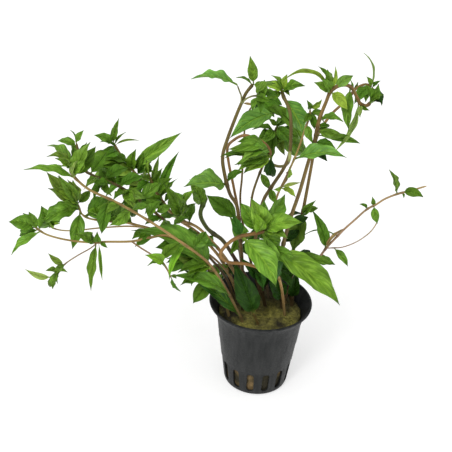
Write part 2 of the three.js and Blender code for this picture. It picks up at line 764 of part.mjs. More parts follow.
// The plug: the pot's inside less the gap, with a shallow crown, and a socket for each stem.
function woolPlug(stems) {
  const clearance = potWall + gap;
  const bottom = baseThickness + gap;
  const profile = [
    [0, bottom],
    [heel[0] - clearance, bottom],
    inward(waist, clearance),
    inward(chest, clearance),
    [chest[0] - clearance, woolShoulder],
    woolBrow,
    [0, woolCrown],
  ];
  let plug = toSolid(turned(profile));
  for (const { radii, route } of stems) {
    const [[x, y, z], ...above] = route;
    const socket = centreLine([[x, y, z - gap], ...above]);
    const grown = radii.map((radius) => radius + 2 * gap);
    plug = plug.subtract(toSolid(taperedTube(socket, grown, stepsAlong(centreLine(route)))));
  }
  return toMesh("rock_wool", "wool", toGeometry(plug));
}

const stems = [...leftStems, ...archStems, ...rightStems];
const plant = new THREE.Group();
plant.add(pot(), woolPlug(stems), ...stems.map(stem));

export default plant;
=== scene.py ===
"""Dresses a potted aquarium stem plant, in metres, in the frame of its solids.

The pot, the rock wool and every stem and leaf stand in place of a solid. The stems and leaves grow by the
same rules as the solids: a stem runs smoothly through its route, and a leaf grows from a place along it.
The small leaves that are one solid with their stem are pieces of their own here, joined by finish. More
than half of all the leaves, most of them short, are in no solid and stand only here, among the others.
"""
import json
import logging
import math
import random
from dataclasses import dataclass, field, replace
from enum import Enum

import bpy
import numpy as np
from mathutils import Matrix, Vector


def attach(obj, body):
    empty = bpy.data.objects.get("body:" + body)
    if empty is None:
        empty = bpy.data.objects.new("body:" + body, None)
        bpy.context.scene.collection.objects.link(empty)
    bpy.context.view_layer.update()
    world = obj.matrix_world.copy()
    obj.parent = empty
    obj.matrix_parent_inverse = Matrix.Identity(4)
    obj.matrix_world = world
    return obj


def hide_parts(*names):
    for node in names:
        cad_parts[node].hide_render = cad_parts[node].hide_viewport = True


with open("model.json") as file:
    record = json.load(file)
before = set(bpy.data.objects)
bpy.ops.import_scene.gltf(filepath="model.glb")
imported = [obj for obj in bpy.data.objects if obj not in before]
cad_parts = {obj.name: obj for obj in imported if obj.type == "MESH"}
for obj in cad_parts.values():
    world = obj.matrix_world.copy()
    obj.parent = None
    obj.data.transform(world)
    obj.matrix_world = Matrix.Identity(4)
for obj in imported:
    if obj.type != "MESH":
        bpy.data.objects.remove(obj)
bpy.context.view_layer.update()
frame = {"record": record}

MM = 0.001
ROOT = "root"
SEED = 11

Point = tuple[float, float, float]
Colour = tuple[float, float, float, float]
log = logging.getLogger("plant")


def linear(colour: str) -> Colour:
    """Turns an sRGB hex colour such as "#4f8f1e" into linear values with full alpha."""
    shares = (int(colour[start:start + 2], 16) / 255 for start in (1, 3, 5))
    red, green, blue = (
        share / 12.92 if share <= 0.04045 else ((share + 0.055) / 1.055) ** 2.4 for share in shares
    )
    return red, green, blue, 1.0


@dataclass(frozen=True)
class Shade:
    """The colour of a leaf, as the light of the photograph's day shows it.

    Attributes:
        blade: sRGB colour of the upper face between its veins.
        veins: how far the veins stand out, from 0 to 1.
    """

    blade: str
    veins: float


class Tone(Enum):
    """The named shades that the plant's leaves come in."""

    BRIGHT = Shade("#73a524", 0.35)
    YOUNG = Shade("#7f9f30", 0.35)
    PALE = Shade("#9db45a", 0.3)
    FRESH = Shade("#69922a", 0.4)
    VEINED = Shade("#67963a", 0.85)
    MID = Shade("#5a821f", 0.35)
    OLIVE = Shade("#66832a", 0.3)
    # DARK, DEEP and TEAL are partly the leaves' own darker green and partly painted shade, for leaves deep
    # in the foliage.
    DARK = Shade("#537b1d", 0.3)
    DEEP = Shade("#1f3e0b", 0.25)
    TEAL = Shade("#305c19", 0.35)
    STRAW = Shade("#a98b64", 0.2)


class LeafSlot(Enum):
    """The record's material slots that a leaf takes its finish from."""

    YOUNG = "leaf_young"
    MATURE = "leaf_mature"
    SHADED = "leaf_shaded"


SLOT_OF_TONE = {
    Tone.BRIGHT: LeafSlot.YOUNG,
    Tone.YOUNG: LeafSlot.YOUNG,
    Tone.PALE: LeafSlot.YOUNG,
    Tone.STRAW: LeafSlot.YOUNG,
    Tone.FRESH: LeafSlot.MATURE,
    Tone.VEINED: LeafSlot.MATURE,
    Tone.MID: LeafSlot.MATURE,
    Tone.OLIVE: LeafSlot.MATURE,
    Tone.DARK: LeafSlot.SHADED,
    Tone.DEEP: LeafSlot.SHADED,
    Tone.TEAL: LeafSlot.SHADED,
}


@dataclass(frozen=True)
class BarkShade:
    """The colours of a stem, from where it is rooted to its growing tip.

    Attributes:
        slot: the record's material slot.
        base: sRGB colour near the wool, partly painted shade where it is dark.
        middle: sRGB colour halfway.
        tip: sRGB colour near the growing tip.
        shoot: sRGB colour of its side shoots.
    """

    slot: str
    base: str
    middle: str
    tip: str
    shoot: str


class Bark(Enum):
    """The named colourings of the stems."""

    # The dark base colours are partly painted shade, where the stems rise from the wool under the leaves.
    TAN = BarkShade("stem_tan", "#7c6e46", "#ab8a58", "#a08f50", "#8a7350")
    RED = BarkShade("stem_tan", "#4f3c24", "#97703f", "#8e6d3b", "#9b744a")
    ROSE = BarkShade("stem_tan", "#6d5a40", "#b59278", "#a9925e", "#b09880")
    BROWN = BarkShade("stem_brown", "#40351f", "#6e5932", "#6f6532", "#a3a868")
    MOSS = BarkShade("stem_brown", "#40301f", "#463226", "#5b7632", "#4c5a24")
    AMBER = BarkShade("stem_brown", "#4f4228", "#867344", "#8d6e38", "#8a6a38")


@dataclass(frozen=True)
class Leaf:
    """One leaf, in millimetres and degrees.

    Attributes:
        place: where it grows along its route: 2.5 is halfway from route point 2 to route point 3.
        heading: compass angle seen from above: 0 right, 90 back, 180 left, 270 front.
        rise: angle above the horizontal.
        length: from the stem's axis to the tip.
        width: across the blade at its widest.
        tone: its colour.
        roll: how far the blade turns about its own line.
        arch: bulge towards the light, as a share of the length.
        lift: bulge upwards, as a share of the length.
        node: the solid that it stands for, where it has one of its own.
    """

    place: float
    heading: float
    rise: float
    length: float
    width: float
    tone: Tone
    roll: float = 0.0
    arch: float = 0.12
    lift: float = 0.0
    node: str = ""


@dataclass(frozen=True)
class Branch:
    """A stem or a side shoot: its radius at both ends, its route and its leaves, in millimetres."""

    radii: tuple[float, float]
    route: list[Point]
    leaves: list[Leaf]


@dataclass(frozen=True)
class Stem:
    """A rooted stem: the solid that it stands for, its bark, and its branches with the main one first."""

    node: str
    bark: Bark
    branches: list[Branch]


LEFT_STEMS = [
    Stem("stem_left_front", Bark.TAN, [
        Branch((0.9, 0.65), [
            (-9, -12, 36), (-9, -12, 44), (-13, -14, 55), (-19, -18, 70), (-28, -24, 88),
            (-41, -32, 104), (-55, -38, 118), (-69, -42, 129), (-79, -44, 135), (-85, -45, 141),
            (-87, -45, 145), (-86, -44, 148),
        ], [
            Leaf(9, 194, 15, 22, 5.2, Tone.FRESH, roll=10, lift=0.05, node="leaf_left_front_long"),
            Leaf(9.2, 22, 63, 17, 7.5, Tone.FRESH, roll=-10),
            Leaf(7.2, 220, -75, 17, 6, Tone.DARK, node="leaf_left_front_hanging"),
            Leaf(1.4, 196, 47, 47, 8, Tone.TEAL, roll=4, arch=-0.04, node="leaf_left_front_basal"),
            Leaf(9.8, 205, 41, 13, 5.5, Tone.OLIVE, roll=10, lift=0.3),
            Leaf(10.4, 150, 27, 14, 5.5, Tone.FRESH, roll=20, lift=0.35),
            Leaf(9.1, 299, 66, 11, 5, Tone.PALE), Leaf(10.3, 145, -20, 8, 3.6, Tone.OLIVE),
            Leaf(3.7, 215, 15, 15, 5, Tone.YOUNG, roll=20), Leaf(6.5, 220, -20, 12, 5.4, Tone.MID),
            Leaf(6, 60, 25, 12, 5.4, Tone.DARK), Leaf(9.2, 44, 42, 16, 6.5, Tone.DARK),
            Leaf(10.6, 91, 48, 9, 4, Tone.DARK, roll=20),
            Leaf(4.8, 241, -40, 18, 3.4, Tone.BRIGHT, lift=0.45), Leaf(6.8, 227, -8, 9, 4, Tone.MID),
            Leaf(4, 211, -4, 16, 6, Tone.DARK),
            Leaf(3.8, 207, -8, 14, 6.3, Tone.BRIGHT, roll=10, lift=0.15),
            Leaf(9.7, 337, 44, 11, 5, Tone.FRESH), Leaf(10.2, 214, 44, 9, 4, Tone.YOUNG),
            Leaf(6.5, 24, -2, 9, 4, Tone.MID), Leaf(2.6, 206, 32, 38, 8, Tone.FRESH),
        ]),
    ]),
    Stem("stem_left_middle", Bark.BROWN, [
        Branch((0.9, 0.6), [
            (-13, 0, 36), (-13, 0, 44), (-18, -3, 64), (-30, -6, 82), (-46, -12, 100),
            (-61, -18, 117), (-70, -22, 126), (-79, -24, 131), (-85, -25, 135), (-87, -25, 141),
            (-88, -24, 148),
        ], [
            Leaf(9.7, 180, 16, 9, 4, Tone.MID, roll=20, lift=0.15), Leaf(8.2, 65, 35, 11, 5, Tone.DARK),
            Leaf(6.9, 235, 0, 9, 4, Tone.MID), Leaf(6, 30, 10, 13, 5.9, Tone.DARK),
            Leaf(5.4, 240, 10, 13, 5.9, Tone.DARK), Leaf(5, 45, 20, 14, 6.3, Tone.MID),
            Leaf(4.7, 120, 10, 13, 5.9, Tone.TEAL), Leaf(4, 240, 15, 14, 6.3, Tone.MID),
            Leaf(10, 0, 60, 7, 3.1, Tone.FRESH, arch=0.05), Leaf(10, 139, 52, 6, 1.6, Tone.DARK, roll=50),
            Leaf(9.4, 45, 30, 6, 2.7, Tone.DARK, roll=30), Leaf(9.1, 135, 40, 7, 3.1, Tone.DARK, roll=30),
            Leaf(7.5, 47, 38, 12, 5.4, Tone.DARK), Leaf(6.7, 44, 7, 14, 6.3, Tone.DARK),
            Leaf(7.7, 110, 52, 11, 5, Tone.MID), Leaf(6.3, 225, 1, 12, 5.4, Tone.DARK),
            Leaf(5.6, 332, -5, 11, 5, Tone.OLIVE), Leaf(3.5, 217, -16, 12, 5.4, Tone.OLIVE),
            Leaf(6.7, 305, -33, 9, 4, Tone.MID), Leaf(5.8, 312, -33, 12, 5.4, Tone.OLIVE),
            Leaf(5, 217, 2, 10, 4.5, Tone.DARK), Leaf(5, 315, -24, 11, 5, Tone.DARK),
            Leaf(4.5, 17, 18, 9, 4, Tone.MID), Leaf(4.3, 221, -1, 10, 4.5, Tone.DARK),
            Leaf(4, 30, 15, 10, 4.5, Tone.DARK), Leaf(3, 225, -7, 14, 6.3, Tone.DARK),
            Leaf(2.5, 240, -12, 14, 6.3, Tone.DARK), Leaf(6, 144, 25, 14, 6.3, Tone.DARK),
            Leaf(5.7, 307, -15, 10, 4.5, Tone.MID), Leaf(5, 223, -21, 12, 5.4, Tone.MID),
            Leaf(6.7, 232, -52, 10, 4.5, Tone.DARK), Leaf(5, 149, -66, 12, 5.4, Tone.DARK),
        ]),
    ]),
    Stem("stem_left_low", Bark.TAN, [
        Branch((0.9, 0.5), [
            (-14, -5, 36), (-14, -5, 44), (-20, -9, 66), (-34, -13, 84), (-51, -17, 99),
            (-64, -20, 105), (-74, -22, 107), (-83, -24, 109), (-87, -25, 112), (-88, -25, 115),
            (-89, -25, 118),
        ], [
            Leaf(8.9, 198, -19, 18, 9, Tone.MID, arch=0.2, lift=0.08, node="leaf_left_low_left"),
            Leaf(9.6, 189, 53, 22, 8, Tone.OLIVE, roll=10, lift=-0.3, node="leaf_left_low_crown"),
            Leaf(7.5, 25, 15, 16, 11, Tone.MID, node="leaf_left_low_broad"),
            Leaf(8.5, 255, -55, 18, 6.6, Tone.MID, arch=0.06), Leaf(9.5, 213, 43, 15, 6, Tone.YOUNG),
            Leaf(9.8, 167, 58, 16, 7, Tone.DARK), Leaf(9.8, 238, 69, 16, 5, Tone.YOUNG),
            Leaf(9.3, 233, 31, 12, 5.4, Tone.FRESH, roll=20),
            Leaf(6.6, 35, 0, 12, 5.4, Tone.DARK, roll=10), Leaf(4.3, 225, -30, 12, 5.4, Tone.DARK),
            Leaf(3.5, 220, 10, 14, 6.3, Tone.MID), Leaf(9.8, 48, 28, 9, 4, Tone.DARK),
            Leaf(6.5, 233, 46, 12, 5.4, Tone.BRIGHT), Leaf(6.2, 23, 25, 14, 6.3, Tone.MID),
            Leaf(9.8, 198, 36, 16, 6.5, Tone.OLIVE, lift=0.3),
            Leaf(9.8, 225, 61, 20, 5.5, Tone.FRESH, lift=0.1), Leaf(9.9, 123, 70, 11, 5, Tone.MID),
            Leaf(9.2, 211, 5, 7, 3.1, Tone.MID), Leaf(3, 207, 0, 16, 7.2, Tone.DARK),
            Leaf(2.7, 240, -25, 12, 5.4, Tone.DARK), Leaf(5, 147, 32, 11, 5, Tone.DARK),
            Leaf(6, 34, 54, 11, 5, Tone.MID), Leaf(6.5, 325, 65, 14, 6.3, Tone.MID),
            Leaf(3.2, 202, -43, 15, 6.8, Tone.DARK), Leaf(2.7, 204, -37, 15, 6.8, Tone.DARK),
        ]),
    ]),
    Stem("stem_left_thin", Bark.TAN, [
        Branch((0.8, 0.4), [
            (-11, 5, 36), (-11, 5, 44), (-19, 6, 64), (-35, 8, 77), (-54, 6, 86), (-67, 3, 90),
            (-83, 0, 90), (-95, -2, 89), (-102, -4, 90), (-107, -5, 92),
        ], [
            Leaf(9, 233, 72, 15, 11, Tone.MID, node="leaf_left_thin_round"),
            Leaf(8.8, 250, 55, 12, 4.5, Tone.YOUNG), Leaf(8.7, 310, 40, 10, 3, Tone.YOUNG),
            Leaf(4.5, 214, -29, 9, 4, Tone.DARK),
        ]),
    ]),
    Stem("stem_left_long", Bark.TAN, [
        Branch((1, 0.5), [
            (-16, -8, 36), (-16, -8, 44), (-22, -13, 67), (-31, -20, 86), (-38, -23, 96),
            (-47, -26, 103), (-55, -30, 104), (-63, -34, 104), (-74, -37, 105), (-78, -38, 105),
            (-86, -38, 105), (-94, -38, 106), (-101, -38, 108), (-105, -37, 110), (-107, -36, 111),
        ], [
            Leaf(13.8, 200, 20, 12, 7.5, Tone.MID, node="leaf_left_long_end"),
            Leaf(12.6, 206, -34, 17, 4.6, Tone.FRESH, node="leaf_left_long_down"),
            Leaf(9.1, 255, -70, 23, 5, Tone.MID, roll=15, arch=-0.04, node="leaf_left_long_drop"),
            Leaf(
                2.5, 195, 36, 48, 13, Tone.FRESH, roll=-6, arch=0.1, lift=0.27,
                node="leaf_left_long_sweep",
            ),
            Leaf(13.6, 165, -25, 9, 4, Tone.MID), Leaf(13.5, 148, 34, 9, 4, Tone.DARK),
            Leaf(13, 140, 50, 9, 4, Tone.MID), Leaf(8.9, 295, -80, 19, 1.8, Tone.MID, roll=15, arch=0.05),
            Leaf(9.2, 219, 38, 13, 5.4, Tone.MID, roll=-28), Leaf(8.9, 270, 70, 8, 3.6, Tone.DARK),
            Leaf(2.5, 218, -2, 18, 8.1, Tone.DARK), Leaf(3, 250, -30, 14, 6.3, Tone.DARK),
            Leaf(3.7, 60, 20, 13, 5.9, Tone.MID), Leaf(8.7, 320, -10, 5, 2, Tone.MID),
            Leaf(12.9, 163, -29, 12, 4, Tone.MID), Leaf(2.7, 192, 19, 21, 9.5, Tone.DARK, lift=0.12),
            Leaf(2.3, 205, -49, 17, 7.7, Tone.DARK), Leaf(6, 218, -15, 6, 2.7, Tone.DARK),
            Leaf(3, 202, 26, 16, 7.2, Tone.OLIVE), Leaf(2, 216, 51, 17, 7.7, Tone.MID),
            Leaf(2.7, 196, 30, 26, 11.7, Tone.DARK),
        ]),
        Branch((0.35, 0.35), [
            (-78, -38, 105), (-81, -40, 103), (-86, -43, 101), (-91, -45, 98), (-94, -46, 95),
            (-98, -47, 91),
        ], [
            Leaf(3.4, 180, 41, 9, 3, Tone.OLIVE), Leaf(5, 199, 29, 13, 3, Tone.PALE, roll=-18, lift=-0.2),
            Leaf(4.8, 180, -74, 7, 2.6, Tone.OLIVE, roll=30), Leaf(4.2, 242, -57, 9, 4, Tone.MID),
            Leaf(4.5, 335, 22, 7, 3, Tone.MID), Leaf(4.2, 204, 11, 6, 2.7, Tone.OLIVE),
            Leaf(3.2, 210, -36, 7, 3.1, Tone.OLIVE), Leaf(4, 245, -67, 7, 3.1, Tone.MID),
        ]),
        Branch((0.5, 0.45), [
            (-63, -34, 104), (-59, -37, 103), (-54, -39, 101), (-49, -41, 99), (-46, -42, 95),
            (-44, -42, 90),
        ], [
            Leaf(3.4, 218, 39, 13, 5, Tone.BRIGHT, lift=0.2), Leaf(3, 35, 30, 12, 5.4, Tone.DARK),
            Leaf(4.9, 333, -49, 8, 3, Tone.DARK, roll=30), Leaf(4.7, 45, -40, 5, 2, Tone.MID, roll=30),
            Leaf(3.8, 200, 14, 9, 3.4, Tone.DARK, lift=0.3),
        ]),
    ]),
    Stem("stem_left_back", Bark.TAN, [
        Branch((1.1, 0.8), [
            (-7, 10, 36), (-7, 10, 44), (-18, 16, 63), (-33, 24, 77), (-43, 28, 80), (-49, 30, 83),
            (-54, 31, 89), (-58, 32, 95), (-61, 32, 102), (-62, 32, 106),
        ], [
            Leaf(6.5, 23, 67, 28, 4.6, Tone.DARK, roll=25, lift=0.4, node="leaf_left_back_edge"),
            Leaf(4.2, 225, 65, 29, 9, Tone.MID, node="leaf_left_back_broad"),
            Leaf(7.8, 0, 75, 16, 3, Tone.OLIVE, roll=40), Leaf(8.9, 245, 75, 9, 4, Tone.MID),
            Leaf(8.6, 277, 74, 11, 3.6, Tone.YOUNG), Leaf(6.8, 341, 45, 17, 1.8, Tone.DARK, roll=40),
            Leaf(7.7, 235, 0, 13, 5.9, Tone.DARK), Leaf(6.4, 50, 30, 12, 5.4, Tone.MID),
            Leaf(5.8, 236, 6, 17, 7.7, Tone.DARK), Leaf(3.6, 80, 30, 13, 5.9, Tone.MID),
            Leaf(2.4, 220, 25, 15, 6.8, Tone.DARK), Leaf(6.1, 225, 22, 18, 4.2, Tone.MID, lift=0.15),
            Leaf(5.5, 329, 44, 17, 7.7, Tone.VEINED), Leaf(7.2, 45, 64, 12, 5.4, Tone.DARK),
            Leaf(4.5, 237, 16, 17, 7, Tone.MID), Leaf(8, 232, 26, 9, 4, Tone.OLIVE),
            Leaf(6, 236, 3, 15, 6.8, Tone.MID), Leaf(6.8, 335, 53, 15, 6.8, Tone.DARK),
            Leaf(5, 328, 35, 14, 6.3, Tone.MID), Leaf(4, 318, 69, 25, 9, Tone.FRESH),
            Leaf(6, 17, 29, 10, 4.5, Tone.DARK), Leaf(1.9, 162, -51, 17, 7.7, Tone.DARK),
            Leaf(7, 226, 7, 9, 4, Tone.DARK),
        ]),
    ]),
    Stem("stem_left_top", Bark.TAN, [
        Branch((1.1, 0.7), [
            (-12, 14, 36), (-12, 14, 44), (-21, 24, 58), (-35, 34, 69), (-45, 38, 74),
            (-57, 42, 83), (-66, 44, 93), (-73, 45, 102), (-78, 45, 109), (-81, 44, 115),
            (-82, 44, 117),
        ], [
            Leaf(7, 10, 36, 34, 7.6, Tone.FRESH, roll=25, arch=0.15, node="leaf_left_top_wing"),
            Leaf(7.3, 193, -8, 23, 10, Tone.DARK, lift=0.3, node="leaf_left_top_roof"),
            Leaf(7, 203, -20, 28, 6.6, Tone.MID, lift=0.06, node="leaf_left_top_left"),
            Leaf(9.5, 200, 30, 12, 5.4, Tone.FRESH), Leaf(9.7, 0, 77, 15, 3.6, Tone.MID, lift=0.26),
            Leaf(9.7, 105, 65, 8, 3, Tone.MID, roll=20), Leaf(9.2, 0, 50, 10, 1.8, Tone.MID, roll=30),
            Leaf(9, 0, 14, 14, 1.3, Tone.OLIVE, roll=40, lift=0.26),
            Leaf(8.8, 220, 30, 11, 3.6, Tone.DARK, roll=30), Leaf(8.4, 240, 5, 12, 5.4, Tone.DARK),
            Leaf(6.6, 225, -20, 22, 7, Tone.DARK, node="leaf_left_top_drop"),
            Leaf(6.2, 240, 10, 13, 5.9, Tone.OLIVE), Leaf(6, 233, -28, 17, 6, Tone.OLIVE),
            Leaf(6.5, 20, 40, 11, 5, Tone.DARK), Leaf(5, 210, 30, 14, 6.3, Tone.DARK),
            Leaf(4, 30, 45, 13, 5.9, Tone.MID), Leaf(3, 225, 10, 13, 5.9, Tone.DARK),
            Leaf(6.8, 307, 75, 15, 6.5, Tone.DARK), Leaf(7.2, 204, 18, 16, 7, Tone.DARK, lift=0.15),
            Leaf(6.2, 317, 40, 15, 6, Tone.OLIVE), Leaf(5.8, 322, 11, 16, 7, Tone.MID),
            Leaf(5.5, 240, -24, 12, 5.4, Tone.DARK), Leaf(8.7, 216, 3, 9, 4, Tone.DARK),
            Leaf(7.2, 209, 8, 17, 7.7, Tone.DARK), Leaf(6.8, 220, 4, 16, 7, Tone.OLIVE),
            Leaf(6.4, 224, 10, 17, 7.7, Tone.DARK), Leaf(5.8, 236, 12, 16, 7.2, Tone.MID),
            Leaf(5.6, 307, -6, 15, 6.8, Tone.DARK), Leaf(6.9, 343, 58, 13, 4.5, Tone.DARK, roll=20),
            Leaf(8, 199, -35, 15, 6.8, Tone.DARK), Leaf(2, 34, -68, 19, 8, Tone.DARK),
        ]),
    ]),
]

ARCH_STEMS = [
    Stem("stem_back_dark", Bark.MOSS, [
        Branch((1.1, 1.5), [
            (-2, 15, 36), (-2, 15, 44), (-13, 22, 59), (-21, 27, 69), (-27, 30, 72), (-31, 32, 75),
            (-34, 30, 84), (-31, 31, 94),
        ], [
            Leaf(6.5, 205, 65, 19, 8, Tone.MID, node="leaf_back_dark_hanging"),
            Leaf(2, 166, -59, 16, 7.2, Tone.DEEP), Leaf(3.9, 214, -49, 10, 4.5, Tone.DARK),
        ]),
    ]),
    Stem("stem_hairpin", Bark.RED, [
        Branch((0.8, 1.05), [
            (9, 14, 36), (9, 14, 44), (7, 2, 60), (0, -14, 78), (-9, -24, 88), (-18, -26, 90),
            (-22, -30, 97), (-18, -34, 106), (-13, -35, 110), (-6, -33, 111), (-2, -30, 111),
        ], [
            Leaf(8, 325, -42, 28, 11.6, Tone.FRESH, roll=-6, arch=0.14, node="leaf_hairpin_front"),
            Leaf(9.8, 342, 25, 20, 9, Tone.FRESH, arch=0.14, lift=0.04, node="leaf_hairpin_right"),
            Leaf(9.7, 201, 69, 20, 9.5, Tone.FRESH, arch=0.1, node="leaf_hairpin_up"),
            Leaf(9.1, 144, 48, 16, 8, Tone.MID, arch=0.1, node="leaf_hairpin_left"),
            Leaf(9.9, 54, 39, 20, 8, Tone.MID, roll=10, lift=0.1), Leaf(9.7, 32, -76, 33, 6.5, Tone.TEAL),
            Leaf(9.6, 21, -70, 24, 7, Tone.FRESH), Leaf(9.3, 231, 68, 14, 6, Tone.BRIGHT),
            Leaf(9.8, 321, 7, 14, 6.3, Tone.FRESH), Leaf(9.8, 98, 76, 15, 6.8, Tone.MID),
            Leaf(8, 151, 64, 11, 5, Tone.TEAL), Leaf(9.6, 20, -53, 16, 7.2, Tone.MID),
        ]),
    ]),
    Stem("stem_arch_left", Bark.BROWN, [
        Branch((1.3, 0.9), [
            (-9, -2, 36), (-9, -2, 44), (-11, -2, 74), (-13, -4, 93), (-15, -6, 109),
            (-19, -9, 118), (-22, -13, 131), (-23, -16, 141), (-21, -18, 151), (-18, -20, 162),
            (-16, -20, 168), (-14, -19, 173), (-11, -18, 177),
        ], [
            Leaf(5.4, 203, 7, 22, 12, Tone.VEINED, arch=0.16, node="leaf_arch_left_broad"),
            Leaf(3.5, 147, 19, 21, 9, Tone.DARK, arch=-0.1, node="leaf_arch_left_dark"),
            Leaf(12, 227, 76, 14, 4.6, Tone.MID, arch=0.04, node="leaf_arch_left_spire"),
            Leaf(2.8, 238, 58, 22, 8, Tone.MID), Leaf(5.5, 30, 26, 10, 4.5, Tone.DARK),
            Leaf(11.9, 165, 15, 8, 2.2, Tone.MID, roll=30),
            Leaf(11.9, 340, -15, 8, 3.6, Tone.FRESH, roll=30, lift=0.3),
        ]),
        Branch((0.5, 0.4), [
            (-16, -20, 168), (-14, -21, 171), (-11, -22, 173), (-8, -22, 173),
        ], [
            Leaf(2.9, 315, 56, 8, 3.6, Tone.FRESH), Leaf(2.4, 314, 0, 9, 4, Tone.DARK),
            Leaf(2.7, 285, -46, 8, 3.6, Tone.DARK), Leaf(2.7, 16, -3, 9, 4, Tone.DARK),
            Leaf(2.5, 35, 58, 7, 3.1, Tone.FRESH), Leaf(2.9, 220, -61, 7, 3.1, Tone.MID),
            Leaf(0.3, 0, -6, 6, 1.2, Tone.STRAW, lift=-0.15),
            Leaf(2.5, 338, 41, 11, 4.6, Tone.FRESH, lift=0.2),
        ]),
        Branch((0.45, 0.4), [
            (-16, -20, 168), (-16, -21, 172), (-17, -22, 175), (-18, -23, 178),
        ], [
            Leaf(3, 185, 7, 20, 7, Tone.VEINED, roll=12, arch=0.06, lift=0.1, node="leaf_arch_left_flag"),
        ]),
    ]),
    Stem("stem_middle_back", Bark.BROWN, [
        Branch((0.9, 0.45), [
            (1, 10, 36), (1, 10, 44), (-8, 15, 72), (-13, 20, 96), (-13, 23, 110), (-13, 24, 125),
            (-13, 23, 137), (-12, 20, 147), (-9, 16, 154), (-6, 13, 158), (-2, 11, 155),
            (1, 8, 153),
        ], [
            Leaf(11, 215, -16, 27, 9.5, Tone.VEINED, arch=0.05, lift=0.1, node="leaf_middle_back_lying"),
            Leaf(8.8, 15, -51, 39, 7, Tone.MID, lift=0.22, node="leaf_middle_back_cover"),
            Leaf(9, 340, -50, 11, 5, Tone.DARK), Leaf(9, 10, -20, 11, 5, Tone.DARK),
            Leaf(9, 40, 5, 10, 4.5, Tone.FRESH), Leaf(9, 75, 65, 9, 4, Tone.DARK, roll=10),
            Leaf(2.1, 35, 35, 13, 5.9, Tone.TEAL), Leaf(8.9, 255, -60, 8, 3.6, Tone.DEEP),
            Leaf(5, 22, 18, 13, 5.9, Tone.DEEP), Leaf(9.8, 327, -27, 10, 4.5, Tone.DARK),
        ]),
    ]),
    Stem("stem_drooping", Bark.RED, [
        Branch((0.9, 0.8), [
            (-6, 4, 36), (-6, 4, 44), (-12, 5, 75), (-14, 6, 98), (-17, 6, 113), (-20, 2, 128),
            (-21, -5, 140), (-18, -11, 147), (-14, -17, 152), (-10, -23, 154), (-6, -27, 154),
            (-3, -30, 152), (-2, -31, 149),
        ], [
            Leaf(11.3, 195, 7, 19, 6, Tone.MID, roll=10), Leaf(11.8, 209, -17, 17, 6, Tone.FRESH),
            Leaf(11.8, 185, -5, 20, 6.5, Tone.MID), Leaf(10.6, 180, 5, 13, 5, Tone.DARK),
            Leaf(12, 75, -65, 14, 5.5, Tone.DEEP), Leaf(2.4, 243, -31, 11, 4, Tone.DARK),
            Leaf(2.1, 310, 55, 15, 6.8, Tone.MID), Leaf(11.8, 210, -4, 18, 6, Tone.MID),
            Leaf(11.1, 221, 1, 15, 6, Tone.MID, arch=0.2),
            Leaf(12, 210, -23, 13, 5, Tone.YOUNG, arch=0.25, lift=-0.15),
            Leaf(12, 199, -30, 14, 6, Tone.OLIVE, arch=0.2, lift=-0.15),
            Leaf(10.8, 212, 4, 19, 6.5, Tone.MID, arch=0.2),
            Leaf(11.7, 190, -1, 22, 4.5, Tone.DARK, lift=-0.1),
            Leaf(11.4, 224, -2, 19, 6, Tone.FRESH, arch=0.2),
        ]),
    ]),
    Stem("stem_middle_arch", Bark.BROWN, [
        Branch((1.2, 0.9), [
            (3, 2, 36), (3, 2, 44), (-4, -3, 76), (-5, -8, 99), (-3, -12, 116), (0, -15, 125),
            (5, -18, 137), (7, -19, 145), (7, -18, 154), (6, -14, 163), (3, -9, 168), (2, -6, 170),
        ], [
            Leaf(10, 12, -59, 21, 9.6, Tone.VEINED, node="leaf_middle_arch_veined"),
            Leaf(10.7, 335, 25, 12, 5.4, Tone.MID), Leaf(10.8, 180, 55, 9, 4, Tone.FRESH, roll=20),
            Leaf(10.7, 210, 25, 11, 5, Tone.YOUNG), Leaf(10.8, 35, 30, 8, 3.6, Tone.MID, roll=20),
            Leaf(1.6, 200, 55, 21, 5, Tone.TEAL), Leaf(2.3, 320, 45, 15, 6.8, Tone.MID),
            Leaf(3.2, 145, 20, 11, 5, Tone.DARK), Leaf(10.8, 55, 65, 8, 3.6, Tone.YOUNG, roll=10),
            Leaf(1.9, 303, -55, 12, 5.4, Tone.TEAL), Leaf(1.4, 219, 65, 23, 8, Tone.DEEP),
            Leaf(10.8, 305, 0, 6, 2.7, Tone.OLIVE), Leaf(10.9, 197, 34, 9, 4, Tone.FRESH, lift=0.2),
            Leaf(10.7, 201, -18, 8, 3.6, Tone.MID), Leaf(5, 304, -49, 8, 3.6, Tone.MID),
        ]),
        Branch((0.95, 0.8), [
            (7, -19, 146), (7, -22, 144), (7, -6, 133), (3, -6, 132), (-3, -5, 134),
        ], [
        ]),
    ]),
    Stem("stem_back_centre", Bark.BROWN, [
        Branch((0.9, 0.7), [
            (5, 8, 36), (5, 8, 44), (0, 22, 65), (-6, 28, 83), (-7, 30, 95), (-4, 30, 109),
            (0, 29, 121), (2, 28, 130), (3, 27, 138),
        ], [
            Leaf(7.7, 260, -65, 16, 7.2, Tone.DARK), Leaf(7.9, 325, -65, 15, 5, Tone.OLIVE),
            Leaf(7.6, 200, 10, 13, 4.6, Tone.DARK), Leaf(7.7, 25, -41, 25, 9, Tone.MID, roll=37),
            Leaf(5.1, 330, -50, 11, 4, Tone.MID), Leaf(8, 310, 50, 8, 3.6, Tone.MID),
            Leaf(2.4, 25, 25, 12, 5.4, Tone.DARK), Leaf(2.1, 150, -10, 14, 6.3, Tone.DEEP),
            Leaf(8, 339, 19, 11, 5, Tone.MID), Leaf(7.7, 213, -24, 12, 5.4, Tone.MID),
            Leaf(8, 180, 42, 6, 2.7, Tone.MID), Leaf(6.9, 315, 33, 12, 5.4, Tone.FRESH),
            Leaf(1.8, 18, 49, 12, 5.4, Tone.DEEP), Leaf(7.8, 340, -10, 15, 6.8, Tone.MID),
            Leaf(8, 325, 36, 8, 3.6, Tone.FRESH), Leaf(8, 318, -21, 14, 6.3, Tone.MID, roll=24),
            Leaf(7.7, 226, -23, 11, 5, Tone.FRESH, roll=-18),
        ]),
    ]),
]

